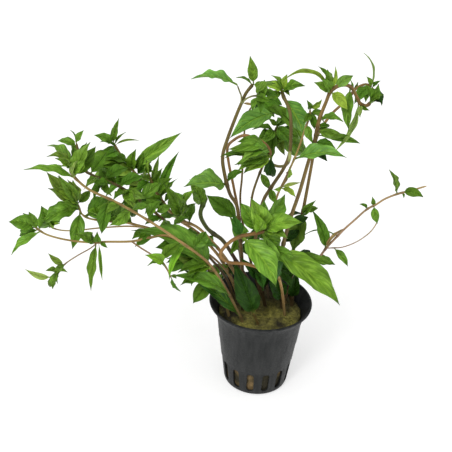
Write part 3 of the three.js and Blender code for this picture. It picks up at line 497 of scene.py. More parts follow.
RIGHT_STEMS = [
    Stem("stem_middle_thin", Bark.TAN, [
        Branch((0.9, 0.5), [
            (14, 7, 36), (14, 7, 44), (4, 8, 70), (3, 7, 83), (3, 3, 100), (4, -4, 115),
            (7, -12, 130), (9, -20, 142), (11, -21, 150), (13, -17, 156), (15, -13, 161),
            (15, -11, 164),
        ], [
            Leaf(7.1, 343, 13, 24, 8.6, Tone.VEINED, roll=-10, arch=0.08, node="leaf_middle_thin_lone"),
            Leaf(10.9, 27, 33, 7, 3.1, Tone.YOUNG, roll=10), Leaf(9.4, 300, -50, 9, 4, Tone.MID),
            Leaf(2, 30, 20, 12, 5.4, Tone.DEEP), Leaf(2.5, 35, 50, 13, 5.9, Tone.MID),
            Leaf(3, 215, 60, 13, 5.9, Tone.MID), Leaf(10.9, 230, 60, 6, 2.7, Tone.MID),
            Leaf(10.5, 325, -20, 8, 3.6, Tone.MID), Leaf(10.4, 240, -25, 7, 3.1, Tone.DARK),
            Leaf(10.2, 24, 11, 6, 2.7, Tone.MID), Leaf(10.5, 318, -66, 8, 3.6, Tone.DARK),
            Leaf(2.2, 306, -25, 13, 5.9, Tone.MID),
        ]),
        Branch((0.5, 0.4), [
            (7, -14, 133), (7, -18, 132), (5, -20, 129), (4, -21, 128),
        ], [
            Leaf(2.6, 335, -20, 8, 3.6, Tone.YOUNG), Leaf(2.4, 345, 25, 10, 1.8, Tone.PALE, roll=40),
            Leaf(1.1, 280, 70, 8, 2.6, Tone.YOUNG, roll=20), Leaf(2.7, 225, 10, 5, 2.2, Tone.YOUNG),
        ]),
    ]),
    Stem("stem_right_inner", Bark.AMBER, [
        Branch((1.35, 0.85), [
            (12, 1, 36), (12, 1, 44), (8, -3, 73), (9, -5, 89), (11, -8, 105), (14, -11, 122),
            (16, -14, 137), (18, -16, 150), (19, -17, 161), (21, -18, 170), (23, -18, 176),
            (28, -17, 178), (32, -15, 176), (35, -14, 171), (37, -13, 168), (40, -12, 167),
            (42, -11, 169),
        ], [
            Leaf(10, 175, 5, 22, 2.5, Tone.YOUNG, roll=10, lift=0.36, node="leaf_right_inner_bow"),
            Leaf(11.8, 276, -71, 19, 5.5, Tone.MID, roll=20, arch=0.06, node="leaf_right_inner_hanging"),
            Leaf(13.2, 223, -60, 25, 3.6, Tone.PALE, roll=30, lift=-1.4, node="leaf_right_inner_ribbon"),
            Leaf(7.3, 10, -13, 22, 3.8, Tone.MID, roll=10, node="leaf_right_inner_dart"),
            Leaf(9.9, 165, 57, 12, 4, Tone.DARK, roll=20), Leaf(10.2, 20, 30, 10, 4.5, Tone.VEINED),
            Leaf(10.1, 80, 85, 10, 2, Tone.YOUNG, arch=0.02), Leaf(9.8, 204, 31, 10, 4.5, Tone.FRESH),
            Leaf(9.8, 328, -34, 11, 5, Tone.YOUNG, roll=27),
            Leaf(15.9, 300, 70, 10, 4.5, Tone.MID, roll=10), Leaf(8.1, 335, 5, 11, 5, Tone.MID),
            Leaf(6.9, 320, -35, 10, 4.5, Tone.DEEP), Leaf(7.5, 40, 5, 8, 2, Tone.DARK, roll=40, lift=0.2),
            Leaf(3.8, 26, 9, 11, 5, Tone.DEEP), Leaf(1.8, 75, 35, 12, 5.4, Tone.TEAL),
            Leaf(3, 30, 30, 11, 5, Tone.DEEP), Leaf(1.8, 345, 35, 14, 6.3, Tone.DEEP),
            Leaf(14.1, 265, -55, 6, 2.7, Tone.PALE),
            Leaf(14.2, 310, -10, 5, 1.8, Tone.DARK, roll=40, lift=-0.3),
            Leaf(15.8, 325, 10, 6, 2.7, Tone.DEEP), Leaf(10, 139, 68, 9, 4, Tone.OLIVE),
            Leaf(9.8, 221, 47, 10, 4.5, Tone.MID), Leaf(7.5, 347, -4, 13, 4.6, Tone.MID),
            Leaf(7.7, 21, -9, 6, 2.7, Tone.DARK), Leaf(7, 342, -7, 10, 4.4, Tone.DARK),
            Leaf(1.3, 205, 63, 20, 9, Tone.DEEP), Leaf(2, 314, -36, 12, 5.4, Tone.DEEP),
            Leaf(15.4, 325, 45, 9, 4, Tone.MID), Leaf(16, 146, 55, 8, 3.6, Tone.DARK),
        ]),
    ]),
    Stem("stem_right_outer", Bark.AMBER, [
        Branch((1.35, 0.7), [
            (17, 5, 36), (17, 5, 44), (15, 5, 76), (17, 4, 91), (18, 3, 105), (19, 2, 120),
            (20, 3, 132), (21, 5, 142), (24, 8, 148), (28, 11, 153), (32, 14, 156), (36, 16, 160),
            (39, 17, 164), (43, 17, 166), (46, 16, 165),
        ], [
            Leaf(3.9, 229, -76, 22, 11, Tone.OLIVE, roll=15, arch=0.06, node="leaf_right_outer_olive"),
            Leaf(13.7, 220, -35, 12, 5.4, Tone.DARK),
            Leaf(13.9, 160, 70, 17, 1.6, Tone.OLIVE, roll=60, lift=0.24),
            Leaf(14, 315, -45, 10, 4.5, Tone.DEEP), Leaf(11.3, 110, 60, 7, 1.4, Tone.DARK, roll=20),
            Leaf(3.7, 326, 59, 13, 4, Tone.FRESH), Leaf(1.9, 45, -15, 16, 7.2, Tone.DEEP),
            Leaf(13.9, 180, 60, 6, 2.7, Tone.MID), Leaf(14, 0, 45, 5, 2.2, Tone.DARK),
            Leaf(11.4, 50, 50, 6, 1.4, Tone.DARK, roll=20), Leaf(13.8, 243, -52, 8, 3.6, Tone.MID),
            Leaf(2, 344, -2, 22, 5.5, Tone.MID, lift=-0.05), Leaf(3.9, 15, 7, 8, 3.6, Tone.DARK),
            Leaf(3.8, 212, -6, 10, 4.5, Tone.DEEP), Leaf(3.7, 324, 51, 9, 4, Tone.MID),
            Leaf(1.2, 278, 77, 23, 6, Tone.DEEP),
        ]),
    ]),
    Stem("stem_runner", Bark.ROSE, [
        Branch((0.9, 0.5), [
            (14, 12, 36), (14, 12, 44), (19, 14, 62), (25, 12, 68), (29, 10, 72), (32, 7, 80),
            (35, 4, 87), (39, 0, 96), (43, -4, 104), (47, -8, 112), (51, -11, 117), (54, -13, 121),
            (59, -15, 125), (64, -17, 128), (71, -19, 132),
        ], [
            Leaf(4.9, 199, 68, 27, 5.8, Tone.MID, roll=-24, arch=0.1, lift=0.3, node="leaf_runner_tall"),
            Leaf(12, 200, 65, 15, 4.6, Tone.MID, arch=-0.06),
            Leaf(12.4, 343, -2, 10, 4.5, Tone.DARK, lift=0.3), Leaf(3.1, 350, 0, 13, 5.9, Tone.MID),
            Leaf(9.7, 307, -64, 9, 4, Tone.FRESH),
            Leaf(6.4, 161, -16, 19, 1.2, Tone.DARK, roll=40, lift=0.12),
            Leaf(9.7, 180, 75, 5, 2.2, Tone.MID),
            Leaf(9.1, 180, 30, 5, 1.8, Tone.DARK, roll=30, lift=0.3),
            Leaf(12.4, 0, -65, 3, 1.4, Tone.DARK), Leaf(5, 339, 59, 17, 2.6, Tone.STRAW),
            Leaf(5, 308, 59, 17, 2, Tone.STRAW),
        ]),
        Branch((0.35, 0.35), [
            (32, 7, 80), (35, 6, 81), (40, 4, 83), (46, 0, 89), (51, -4, 97), (53, -7, 104),
            (53, -8, 107),
        ], [
            Leaf(1.2, 325, -40, 12, 4, Tone.MID),
        ]),
    ]),
    Stem("stem_front_right", Bark.TAN, [
        Branch((0.9, 0.9), [
            (13, -5, 36), (13, -5, 44), (9, -10, 68), (4, -19, 83), (3, -25, 93), (0, -29, 101),
        ], [
            Leaf(5, 346, -34, 44, 12.2, Tone.MID, arch=0.1, lift=0.05, node="leaf_front_right_giant"),
            Leaf(2.3, 218, 55, 14, 6, Tone.TEAL), Leaf(5, 347, -20, 15, 6.8, Tone.MID),
        ]),
    ]),
    Stem("stem_front_dark", Bark.BROWN, [
        Branch((0.9, 0.8), [
            (-1, -14, 36), (-1, -14, 44), (-3, -16, 51), (-5, -17, 56),
        ], [
            Leaf(2.3, 192, 70, 36, 11.6, Tone.DEEP, roll=-10, arch=0.06, node="leaf_front_dark_blade"),
        ]),
    ]),
]


# Veins of a leaf: pairs of side veins, how far they lean towards the tip at the edge, and how they curve.
VEIN_PAIRS = 7.0
VEIN_LEAN = 2.2
VEIN_CURVE = 1.35

# Blades face up and a little to the front, where the light came from.
LIGHT = Vector((0, -0.6, 0.8))
UP = Vector((0, 0, 1))


def add_node(
    tree: bpy.types.NodeTree, kind: str, inputs: dict[str | int, object] | None = None, **settings: object
) -> bpy.types.Node:
    """Adds one node to a material.

    Args:
        tree: the material's node tree.
        kind: the node's type name.
        inputs: by socket name or number, a socket to link or a plain value.
        **settings: properties of the node itself.

    Returns:
        The new node.
    """
    node = tree.nodes.new(kind)
    for name, value in settings.items():
        setattr(node, name, value)
    for name, value in (inputs or {}).items():
        if isinstance(value, bpy.types.NodeSocket):
            tree.links.new(value, node.inputs[name])
        else:
            node.inputs[name].default_value = value
    return node


def new_material(name: str) -> tuple[bpy.types.Material, bpy.types.NodeTree, bpy.types.Node]:
    """Makes a material with one Principled shader.

    Args:
        name: the material's name.

    Returns:
        The material, its node tree and the shader.
    """
    material = bpy.data.materials.new(name)
    material.use_nodes = True
    tree = material.node_tree
    return material, tree, tree.nodes["Principled BSDF"]


@dataclass(frozen=True)
class WaxyLeaf:
    """Leaf blade under a thin wax: soft gloss, pale sunken veins, a paler and duller underside.

    Attributes:
        name: the material's name.
        roughness: of the upper face.
        gloss: strength of its reflections, where 0.5 is a bare surface of this IOR.
        relief: height of the quilting between the veins, in millimetres.
        streaks: how pale the lightest streaks between the veins are, from 0 to 1.
        vein: sRGB colour of the midrib, the side veins and the pale streaks.
        underside: sRGB colour that the lower face leans to.
        scorched: sRGB colour of the last of the tip.
        stalk: sRGB colour of the stalk.
    """

    name: str
    roughness: float
    gloss: float
    relief: float
    streaks: float
    vein: str
    underside: str
    scorched: str = "#26401a"
    stalk: str = "#7d8a3c"

    def build(self) -> bpy.types.Material:
        """Returns the material, which reads the leaf's own UV map and its tone and underside attributes."""
        material, tree, shader = new_material(self.name)
        blade = add_node(tree, "ShaderNodeAttribute", attribute_name="tone")
        lower = add_node(tree, "ShaderNodeAttribute", attribute_name="underside")
        grown = add_node(tree, "ShaderNodeUVMap", uv_map="blade")
        split = add_node(tree, "ShaderNodeSeparateXYZ", {0: grown.outputs[0]})
        # Distance from the midrib, from 0 there to 1 at the edge.
        off_centre = add_node(tree, "ShaderNodeMath", {0: split.outputs[0], 1: 0.5}, operation="SUBTRACT")
        doubled = add_node(tree, "ShaderNodeMath", {0: off_centre.outputs[0], 1: 2.0}, operation="MULTIPLY")
        side = add_node(tree, "ShaderNodeMath", {0: doubled.outputs[0]}, operation="ABSOLUTE")
        midrib = add_node(
            tree, "ShaderNodeMapRange", {0: side.outputs[0], 1: 0.03, 2: 0.13, 3: 1.0, 4: 0.0},
            interpolation_type="SMOOTHSTEP",
        )
        # Side veins leave the midrib evenly and curve towards the tip.
        curved = add_node(tree, "ShaderNodeMath", {0: side.outputs[0], 1: VEIN_CURVE}, operation="POWER")
        lean = add_node(tree, "ShaderNodeMath", {0: curved.outputs[0], 1: -VEIN_LEAN}, operation="MULTIPLY")
        count = add_node(
            tree, "ShaderNodeMath", {0: split.outputs[1], 1: VEIN_PAIRS, 2: lean.outputs[0]},
            operation="MULTIPLY_ADD",
        )
        ripple = add_node(tree, "ShaderNodeMath", {0: count.outputs[0], 1: 0.5}, operation="PINGPONG")
        side_vein = add_node(
            tree, "ShaderNodeMapRange", {0: ripple.outputs[0], 1: 0.0, 2: 0.17, 3: 1.0, 4: 0.0},
            interpolation_type="SMOOTHSTEP",
        )
        fade = add_node(
            tree, "ShaderNodeMapRange", {0: side.outputs[0], 1: 0.3, 2: 1.0, 3: 0.6, 4: 0.0},
            interpolation_type="SMOOTHSTEP",
        )
        faded = add_node(
            tree, "ShaderNodeMath", {0: side_vein.outputs[0], 1: fade.outputs[0]}, operation="MULTIPLY"
        )
        veins = add_node(
            tree, "ShaderNodeMath", {0: midrib.outputs[0], 1: faded.outputs[0]}, operation="MAXIMUM"
        )
        shown = add_node(
            tree, "ShaderNodeMath", {0: veins.outputs[0], 1: blade.outputs["Alpha"]}, operation="MULTIPLY"
        )
        # Patches about 5 mm across, where the blade is fresher or duller.
        place = add_node(tree, "ShaderNodeTexCoord")
        patches = add_node(
            tree, "ShaderNodeTexNoise",
            {"Vector": place.outputs["Object"], "Scale": 1 / (5 * MM), "Detail": 3.0},
        )
        value = add_node(
            tree, "ShaderNodeMapRange", {0: patches.outputs[0], 1: 0.3, 2: 0.7, 3: 0.75, 4: 1.2}
        )
        mottled = add_node(
            tree, "ShaderNodeMix", {"Factor": 1.0, "A": blade.outputs["Color"], "B": value.outputs[0]},
            data_type="RGBA", blend_type="MULTIPLY",
        )
        # Light and dark streaks that follow the side veins, different on each leaf.
        own = add_node(tree, "ShaderNodeSeparateColor", {0: blade.outputs["Color"]})
        number = add_node(tree, "ShaderNodeMath", {0: own.outputs[0], 1: 400.0}, operation="MULTIPLY")
        lane = add_node(
            tree, "ShaderNodeCombineXYZ", {0: count.outputs[0], 1: doubled.outputs[0], 2: number.outputs[0]}
        )
        streaks = add_node(
            tree, "ShaderNodeTexNoise",
            {"Vector": lane.outputs[0], "Scale": 1.5, "Detail": 3.0, "Roughness": 0.6},
        )
        dark = add_node(
            tree, "ShaderNodeMapRange", {0: streaks.outputs[0], 1: 0.3, 2: 0.6, 3: 0.62, 4: 1.1}
        )
        streaked = add_node(
            tree, "ShaderNodeMix", {"Factor": 1.0, "A": mottled.outputs[2], "B": dark.outputs[0]},
            data_type="RGBA", blend_type="MULTIPLY",
        )
        pale = add_node(
            tree, "ShaderNodeMapRange", {0: streaks.outputs[0], 1: 0.52, 2: 0.74, 3: 0.0, 4: self.streaks}
        )
        brightened = add_node(
            tree, "ShaderNodeMix",
            {"Factor": pale.outputs[0], "A": streaked.outputs[2], "B": linear(self.vein)}, data_type="RGBA",
        )
        veined = add_node(
            tree, "ShaderNodeMix",
            {"Factor": shown.outputs[0], "A": brightened.outputs[2], "B": linear(self.vein)},
            data_type="RGBA",
        )
        # The last of the tip is dark and a little scorched, and the stalk is yellowish.
        tip = add_node(tree, "ShaderNodeMapRange", {0: split.outputs[1], 1: 0.9, 2: 1.0, 3: 0.0, 4: 0.7})
        tipped = add_node(
            tree, "ShaderNodeMix",
            {"Factor": tip.outputs[0], "A": veined.outputs[2], "B": linear(self.scorched)},
            data_type="RGBA",
        )
        stalk = add_node(
            tree, "ShaderNodeMapRange", {0: split.outputs[1], 1: 0.02, 2: 0.16, 3: 0.65, 4: 0.0}
        )
        stalked = add_node(
            tree, "ShaderNodeMix",
            {"Factor": stalk.outputs[0], "A": tipped.outputs[2], "B": linear(self.stalk)},
            data_type="RGBA",
        )
        under = add_node(tree, "ShaderNodeMath", {0: lower.outputs["Fac"], 1: 0.5}, operation="MULTIPLY")
        both = add_node(
            tree, "ShaderNodeMix",
            {"Factor": under.outputs[0], "A": stalked.outputs[2], "B": linear(self.underside)},
            data_type="RGBA",
        )
        gloss = add_node(
            tree, "ShaderNodeMapRange",
            {0: lower.outputs["Fac"], 1: 0.0, 2: 1.0, 3: self.roughness, 4: 0.62},
        )
        # Between the veins the blade stands up in small cushions with a fine grain.
        cushions = add_node(tree, "ShaderNodeMath", {0: 1.0, 1: veins.outputs[0]}, operation="SUBTRACT")
        grain = add_node(
            tree, "ShaderNodeTexNoise",
            {"Vector": place.outputs["Object"], "Scale": 1 / (0.9 * MM), "Detail": 2.0},
        )
        height = add_node(
            tree, "ShaderNodeMath", {0: grain.outputs[0], 1: 0.5, 2: cushions.outputs[0]},
            operation="MULTIPLY_ADD",
        )
        bump = add_node(
            tree, "ShaderNodeBump",
            {"Strength": 0.8, "Distance": self.relief * MM, "Height": height.outputs[0]},
        )
        tree.links.new(both.outputs[2], shader.inputs["Base Color"])
        tree.links.new(gloss.outputs[0], shader.inputs["Roughness"])
        tree.links.new(bump.outputs[0], shader.inputs["Normal"])
        shader.inputs["IOR"].default_value = 1.42
        shader.inputs["Specular IOR Level"].default_value = self.gloss
        return material


@dataclass(frozen=True)
class GreenBark:
    """Skin of a soft green stem, flushed tan: satin, with fine grooves along it and darker joints.

    Attributes:
        name: the material's name.
        groove: sRGB colour in the grooves.
    """

    name: str
    groove: str

    def build(self) -> bpy.types.Material:
        """Returns the material, which reads the stem's tone attribute and its UV map in millimetres."""
        material, tree, shader = new_material(self.name)
        skin = add_node(tree, "ShaderNodeAttribute", attribute_name="tone")
        along = add_node(tree, "ShaderNodeUVMap", uv_map="skin")
        # Grooves 0.5 mm apart that run on for about 10 mm.
        streaks = add_node(
            tree, "ShaderNodeMapping", {"Vector": along.outputs[0], "Scale": (0.1, 2.0, 1.0)}
        )
        lines = add_node(
            tree, "ShaderNodeTexNoise", {"Vector": streaks.outputs[0], "Scale": 1.0, "Detail": 3.0}
        )
        ridge = add_node(
            tree, "ShaderNodeMapRange", {0: lines.outputs[0], 1: 0.35, 2: 0.6, 3: 0.55, 4: 0.0}
        )
        place = add_node(tree, "ShaderNodeTexCoord")
        blush = add_node(
            tree, "ShaderNodeTexNoise",
            {"Vector": place.outputs["Object"], "Scale": 1 / (14 * MM), "Detail": 2.0},
        )
        value = add_node(
            tree, "ShaderNodeMapRange", {0: blush.outputs[0], 1: 0.3, 2: 0.7, 3: 0.78, 4: 1.25}
        )
        blushed = add_node(
            tree, "ShaderNodeMix", {"Factor": 1.0, "A": skin.outputs["Color"], "B": value.outputs[0]},
            data_type="RGBA", blend_type="MULTIPLY",
        )
        grooved = add_node(
            tree, "ShaderNodeMix",
            {"Factor": ridge.outputs[0], "A": blushed.outputs[2], "B": linear(self.groove)},
            data_type="RGBA",
        )
        bump = add_node(
            tree, "ShaderNodeBump", {"Strength": 0.6, "Distance": 0.15 * MM, "Height": lines.outputs[0]}
        )
        tree.links.new(grooved.outputs[2], shader.inputs["Base Color"])
        tree.links.new(bump.outputs[0], shader.inputs["Normal"])
        shader.inputs["Roughness"].default_value = 0.48
        shader.inputs["IOR"].default_value = 1.42
        shader.inputs["Specular IOR Level"].default_value = 0.3
        return material


@dataclass(frozen=True)
class MouldedPolypropylene:
    """Black polypropylene, injection moulded: satin, with faint flow marks down the wall."""

    name: str = "moulded_black_polypropylene"
    body: str = "#191b1b"
    worn: str = "#313232"

    def build(self) -> bpy.types.Material:
        """Returns the material, which reads Object coordinates."""
        material, tree, shader = new_material(self.name)
        place = add_node(tree, "ShaderNodeTexCoord")
        # Flow marks 3 mm wide that run down the wall, and scuffs about 1 mm across.
        stretched = add_node(
            tree, "ShaderNodeMapping", {"Vector": place.outputs["Object"], "Scale": (1.0, 1.0, 0.12)}
        )
        flow = add_node(
            tree, "ShaderNodeTexNoise",
            {"Vector": stretched.outputs[0], "Scale": 1 / (3 * MM), "Detail": 3.0},
        )
        scuffs = add_node(
            tree, "ShaderNodeTexNoise",
            {"Vector": place.outputs["Object"], "Scale": 1 / (1 * MM), "Detail": 4.0},
        )
        dull = add_node(tree, "ShaderNodeMapRange", {0: flow.outputs[0], 1: 0.35, 2: 0.7, 3: 0.0, 4: 0.8})
        tint = add_node(
            tree, "ShaderNodeMix",
            {"Factor": dull.outputs[0], "A": linear(self.body), "B": linear(self.worn)},
            data_type="RGBA",
        )
        gloss = add_node(
            tree, "ShaderNodeMapRange", {0: scuffs.outputs[0], 1: 0.3, 2: 0.7, 3: 0.45, 4: 0.62}
        )
        wave = add_node(
            tree, "ShaderNodeMath", {0: scuffs.outputs[0], 1: 0.25, 2: flow.outputs[0]},
            operation="MULTIPLY_ADD",
        )
        bump = add_node(
            tree, "ShaderNodeBump", {"Strength": 0.5, "Distance": 0.5 * MM, "Height": wave.outputs[0]}
        )
        tree.links.new(tint.outputs[2], shader.inputs["Base Color"])
        tree.links.new(gloss.outputs[0], shader.inputs["Roughness"])
        tree.links.new(bump.outputs[0], shader.inputs["Normal"])
        shader.inputs["IOR"].default_value = 1.49
        shader.inputs["Specular IOR Level"].default_value = 0.2
        return material


@dataclass(frozen=True)
class MineralWool:
    """Spun mineral fibre, damp and stained by the roots: matt, mottled from straw to dark olive brown."""

    name: str = "damp_mineral_wool"
    straw: str = "#9c9446"
    olive: str = "#626028"
    earth: str = "#8c6e4c"
    # The darkest colour serves the wet stains and also the painted shade towards the back.
    soaked_and_shade: str = "#2b2614"

    def build(self) -> bpy.types.Material:
        """Returns the material, which reads Object coordinates."""
        material, tree, shader = new_material(self.name)
        place = add_node(tree, "ShaderNodeTexCoord")
        # Stains 11 mm across and tufts 1.6 mm across.
        stains = add_node(
            tree, "ShaderNodeTexNoise",
            {"Vector": place.outputs["Object"], "Scale": 1 / (11 * MM), "Detail": 3.0},
        )
        tufts = add_node(
            tree, "ShaderNodeTexNoise",
            {"Vector": place.outputs["Object"], "Scale": 1 / (1.6 * MM), "Detail": 5.0, "Roughness": 0.7},
        )
        lit = add_node(tree, "ShaderNodeMapRange", {0: tufts.outputs[0], 1: 0.35, 2: 0.65})
        wet = add_node(tree, "ShaderNodeMapRange", {0: stains.outputs[0], 1: 0.4, 2: 0.62})
        dry = add_node(
            tree, "ShaderNodeMix",
            {"Factor": lit.outputs[0], "A": linear(self.olive), "B": linear(self.straw)},
            data_type="RGBA",
        )
        mixed = add_node(
            tree, "ShaderNodeMix",
            {"Factor": wet.outputs[0], "A": dry.outputs[2], "B": linear(self.soaked_and_shade)},
            data_type="RGBA",
        )
        # Low down, where it shows through the slots, the wool is browner and darker.
        split = add_node(tree, "ShaderNodeSeparateXYZ", {0: place.outputs["Object"]})
        low = add_node(
            tree, "ShaderNodeMapRange", {0: split.outputs[2], 1: 16 * MM, 2: 30 * MM, 3: 0.85, 4: 0.0}
        )
        damp = add_node(tree, "ShaderNodeMapRange", {0: stains.outputs[0], 1: 0.34, 2: 0.54})
        earthy = add_node(
            tree, "ShaderNodeMix",
            {"Factor": damp.outputs[0], "A": linear(self.earth), "B": linear(self.soaked_and_shade)},
            data_type="RGBA",
        )
        whole = add_node(
            tree, "ShaderNodeMix",
            {"Factor": low.outputs[0], "A": mixed.outputs[2], "B": earthy.outputs[2]},
            data_type="RGBA",
        )
        # Towards the back, under the leaves, the wool is darker: painted shade.
        back = add_node(
            tree, "ShaderNodeMapRange", {0: split.outputs[1], 1: -2 * MM, 2: 8 * MM, 3: 0.0, 4: 0.8}
        )
        shaded = add_node(
            tree, "ShaderNodeMix",
            {"Factor": back.outputs[0], "A": whole.outputs[2], "B": linear(self.soaked_and_shade)},
            data_type="RGBA",
        )
        bump = add_node(
            tree, "ShaderNodeBump", {"Strength": 1.0, "Distance": 0.8 * MM, "Height": tufts.outputs[0]}
        )
        tree.links.new(shaded.outputs[2], shader.inputs["Base Color"])
        tree.links.new(bump.outputs[0], shader.inputs["Normal"])
        shader.inputs["Roughness"].default_value = 0.95
        return material


def clear_selection() -> None:
    """Deselects every object."""
    bpy.ops.object.select_all(action="DESELECT")


def make_active(piece: bpy.types.Object) -> None:
    """Selects one object alone and makes it active."""
    clear_selection()
    piece.select_set(True)
    bpy.context.view_layer.objects.active = piece


def join(pieces: list[bpy.types.Object], name: str) -> bpy.types.Object:
    """Joins several meshes into one.

    Args:
        pieces: the meshes.
        name: what the joined piece is called.

    Returns:
        The joined piece.
    """
    clear_selection()
    for piece in pieces:
        piece.select_set(True)
    bpy.context.view_layer.objects.active = pieces[0]
    if len(pieces) > 1:
        bpy.ops.object.join()
    pieces[0].name = name
    return pieces[0]


def apply_modifier(piece: bpy.types.Object, kind: str, **settings: object) -> None:
    """Adds a modifier with its settings to a piece and applies it."""
    make_active(piece)
    modifier = piece.modifiers.new(kind.lower(), kind)
    for name, value in settings.items():
        setattr(modifier, name, value)
    bpy.ops.object.modifier_apply(modifier=modifier.name)


def merge_doubles(distance: float, outwards: bool) -> bpy.types.Object:
    """Merges the active mesh's doubles and returns the mesh.

    Args:
        distance: how close two vertices are to be merged, in metres.
        outwards: whether its faces are also turned outwards.

    Returns:
        The active mesh.
    """
    bpy.ops.object.mode_set(mode="EDIT")
    bpy.ops.mesh.select_all(action="SELECT")
    bpy.ops.mesh.remove_doubles(threshold=distance)
    if outwards:
        bpy.ops.mesh.normals_make_consistent(inside=False)
    bpy.ops.object.mode_set(mode="OBJECT")
    return bpy.context.object


def curve_to_mesh(curve: bpy.types.Curve) -> None:
    """Links a bevelled curve to the scene and makes it a mesh, which is then the active object."""
    piece = bpy.data.objects.new(curve.name, curve)
    bpy.context.scene.collection.objects.link(piece)
    make_active(piece)
    bpy.ops.object.convert(target="MESH")


def stack_rings(rings: tuple[tuple[float, float], ...], sides: int) -> bpy.types.Object:
    """Extrudes a disc through a stack of rings.

    Args:
        rings: radius and height of each ring, in millimetres, from the disc on.
        sides: number of faces round it.

    Returns:
        The turned form, with its faces outwards.
    """
    clear_selection()
    first_radius, first_height = rings[0]
    bpy.ops.mesh.primitive_circle_add(
        vertices=sides, radius=first_radius * MM, fill_type="NGON", location=(0, 0, first_height * MM)
    )
    form = bpy.context.object
    bpy.ops.object.transform_apply(location=True)
    bpy.ops.object.mode_set(mode="EDIT")
    bpy.ops.mesh.select_all(action="SELECT")
    for (radius, height), (next_radius, next_height) in zip(rings, rings[1:]):
        rise = (0, 0, (next_height - height) * MM)
        bpy.ops.mesh.extrude_region_move(TRANSFORM_OT_translate={"value": rise})
        wider = next_radius / radius
        bpy.ops.transform.resize(value=(wider, wider, 1), center_override=(0, 0, 0))
    bpy.ops.mesh.select_all(action="SELECT")
    bpy.ops.mesh.normals_make_consistent(inside=False)
    bpy.ops.object.mode_set(mode="OBJECT")
    return form


def finish_piece(
    piece: bpy.types.Object, material: bpy.types.Material, nodes: list[str]
) -> None:
    """Dresses a piece and ties it to the frame.

    Args:
        piece: the finished mesh.
        material: its finish.
        nodes: the solids that it stands for.
    """
    piece.data.materials.clear()
    piece.data.materials.append(material)
    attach(piece, ROOT)
    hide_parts(*nodes)
    log.info("%s: %d faces", piece.name, len(piece.data.polygons))


class CentreLine:
    """The smooth line that a stem follows through its route points, in millimetres."""

    def __init__(self, route: list[Point]) -> None:
        """Keeps the route's points.

        Args:
            route: the points, from the root to the tip.
        """
        self.points = [Vector(point) for point in route]

    def at(self, place: float) -> Vector:
        """Returns the point at a place: 2.5 is halfway from route point 2 to route point 3."""
        last = len(self.points) - 2
        index = min(int(place), last)
        share = place - index
        start, end = self.points[index], self.points[index + 1]
        before = self.points[index - 1] if index else 2 * start - end
        after = self.points[index + 2] if index < last else 2 * end - start
        leaving, arriving = (end - before) / 2, (after - start) / 2
        cubic = 2 * start - 2 * end + leaving + arriving
        square = 3 * end - 3 * start - 2 * leaving - arriving
        return start + leaving * share + square * share ** 2 + cubic * share ** 3

    def samples(self, step: float) -> tuple[list[Vector], list[float]]:
        """Returns points about a step apart, and the place of each."""
        places = []
        for index in range(len(self.points) - 1):
            length = (self.points[index + 1] - self.points[index]).length
            count = max(1, round(length / step))
            places.extend(index + number / count for number in range(count))
        places.append(len(self.points) - 1)
        return [self.at(place) for place in places], places


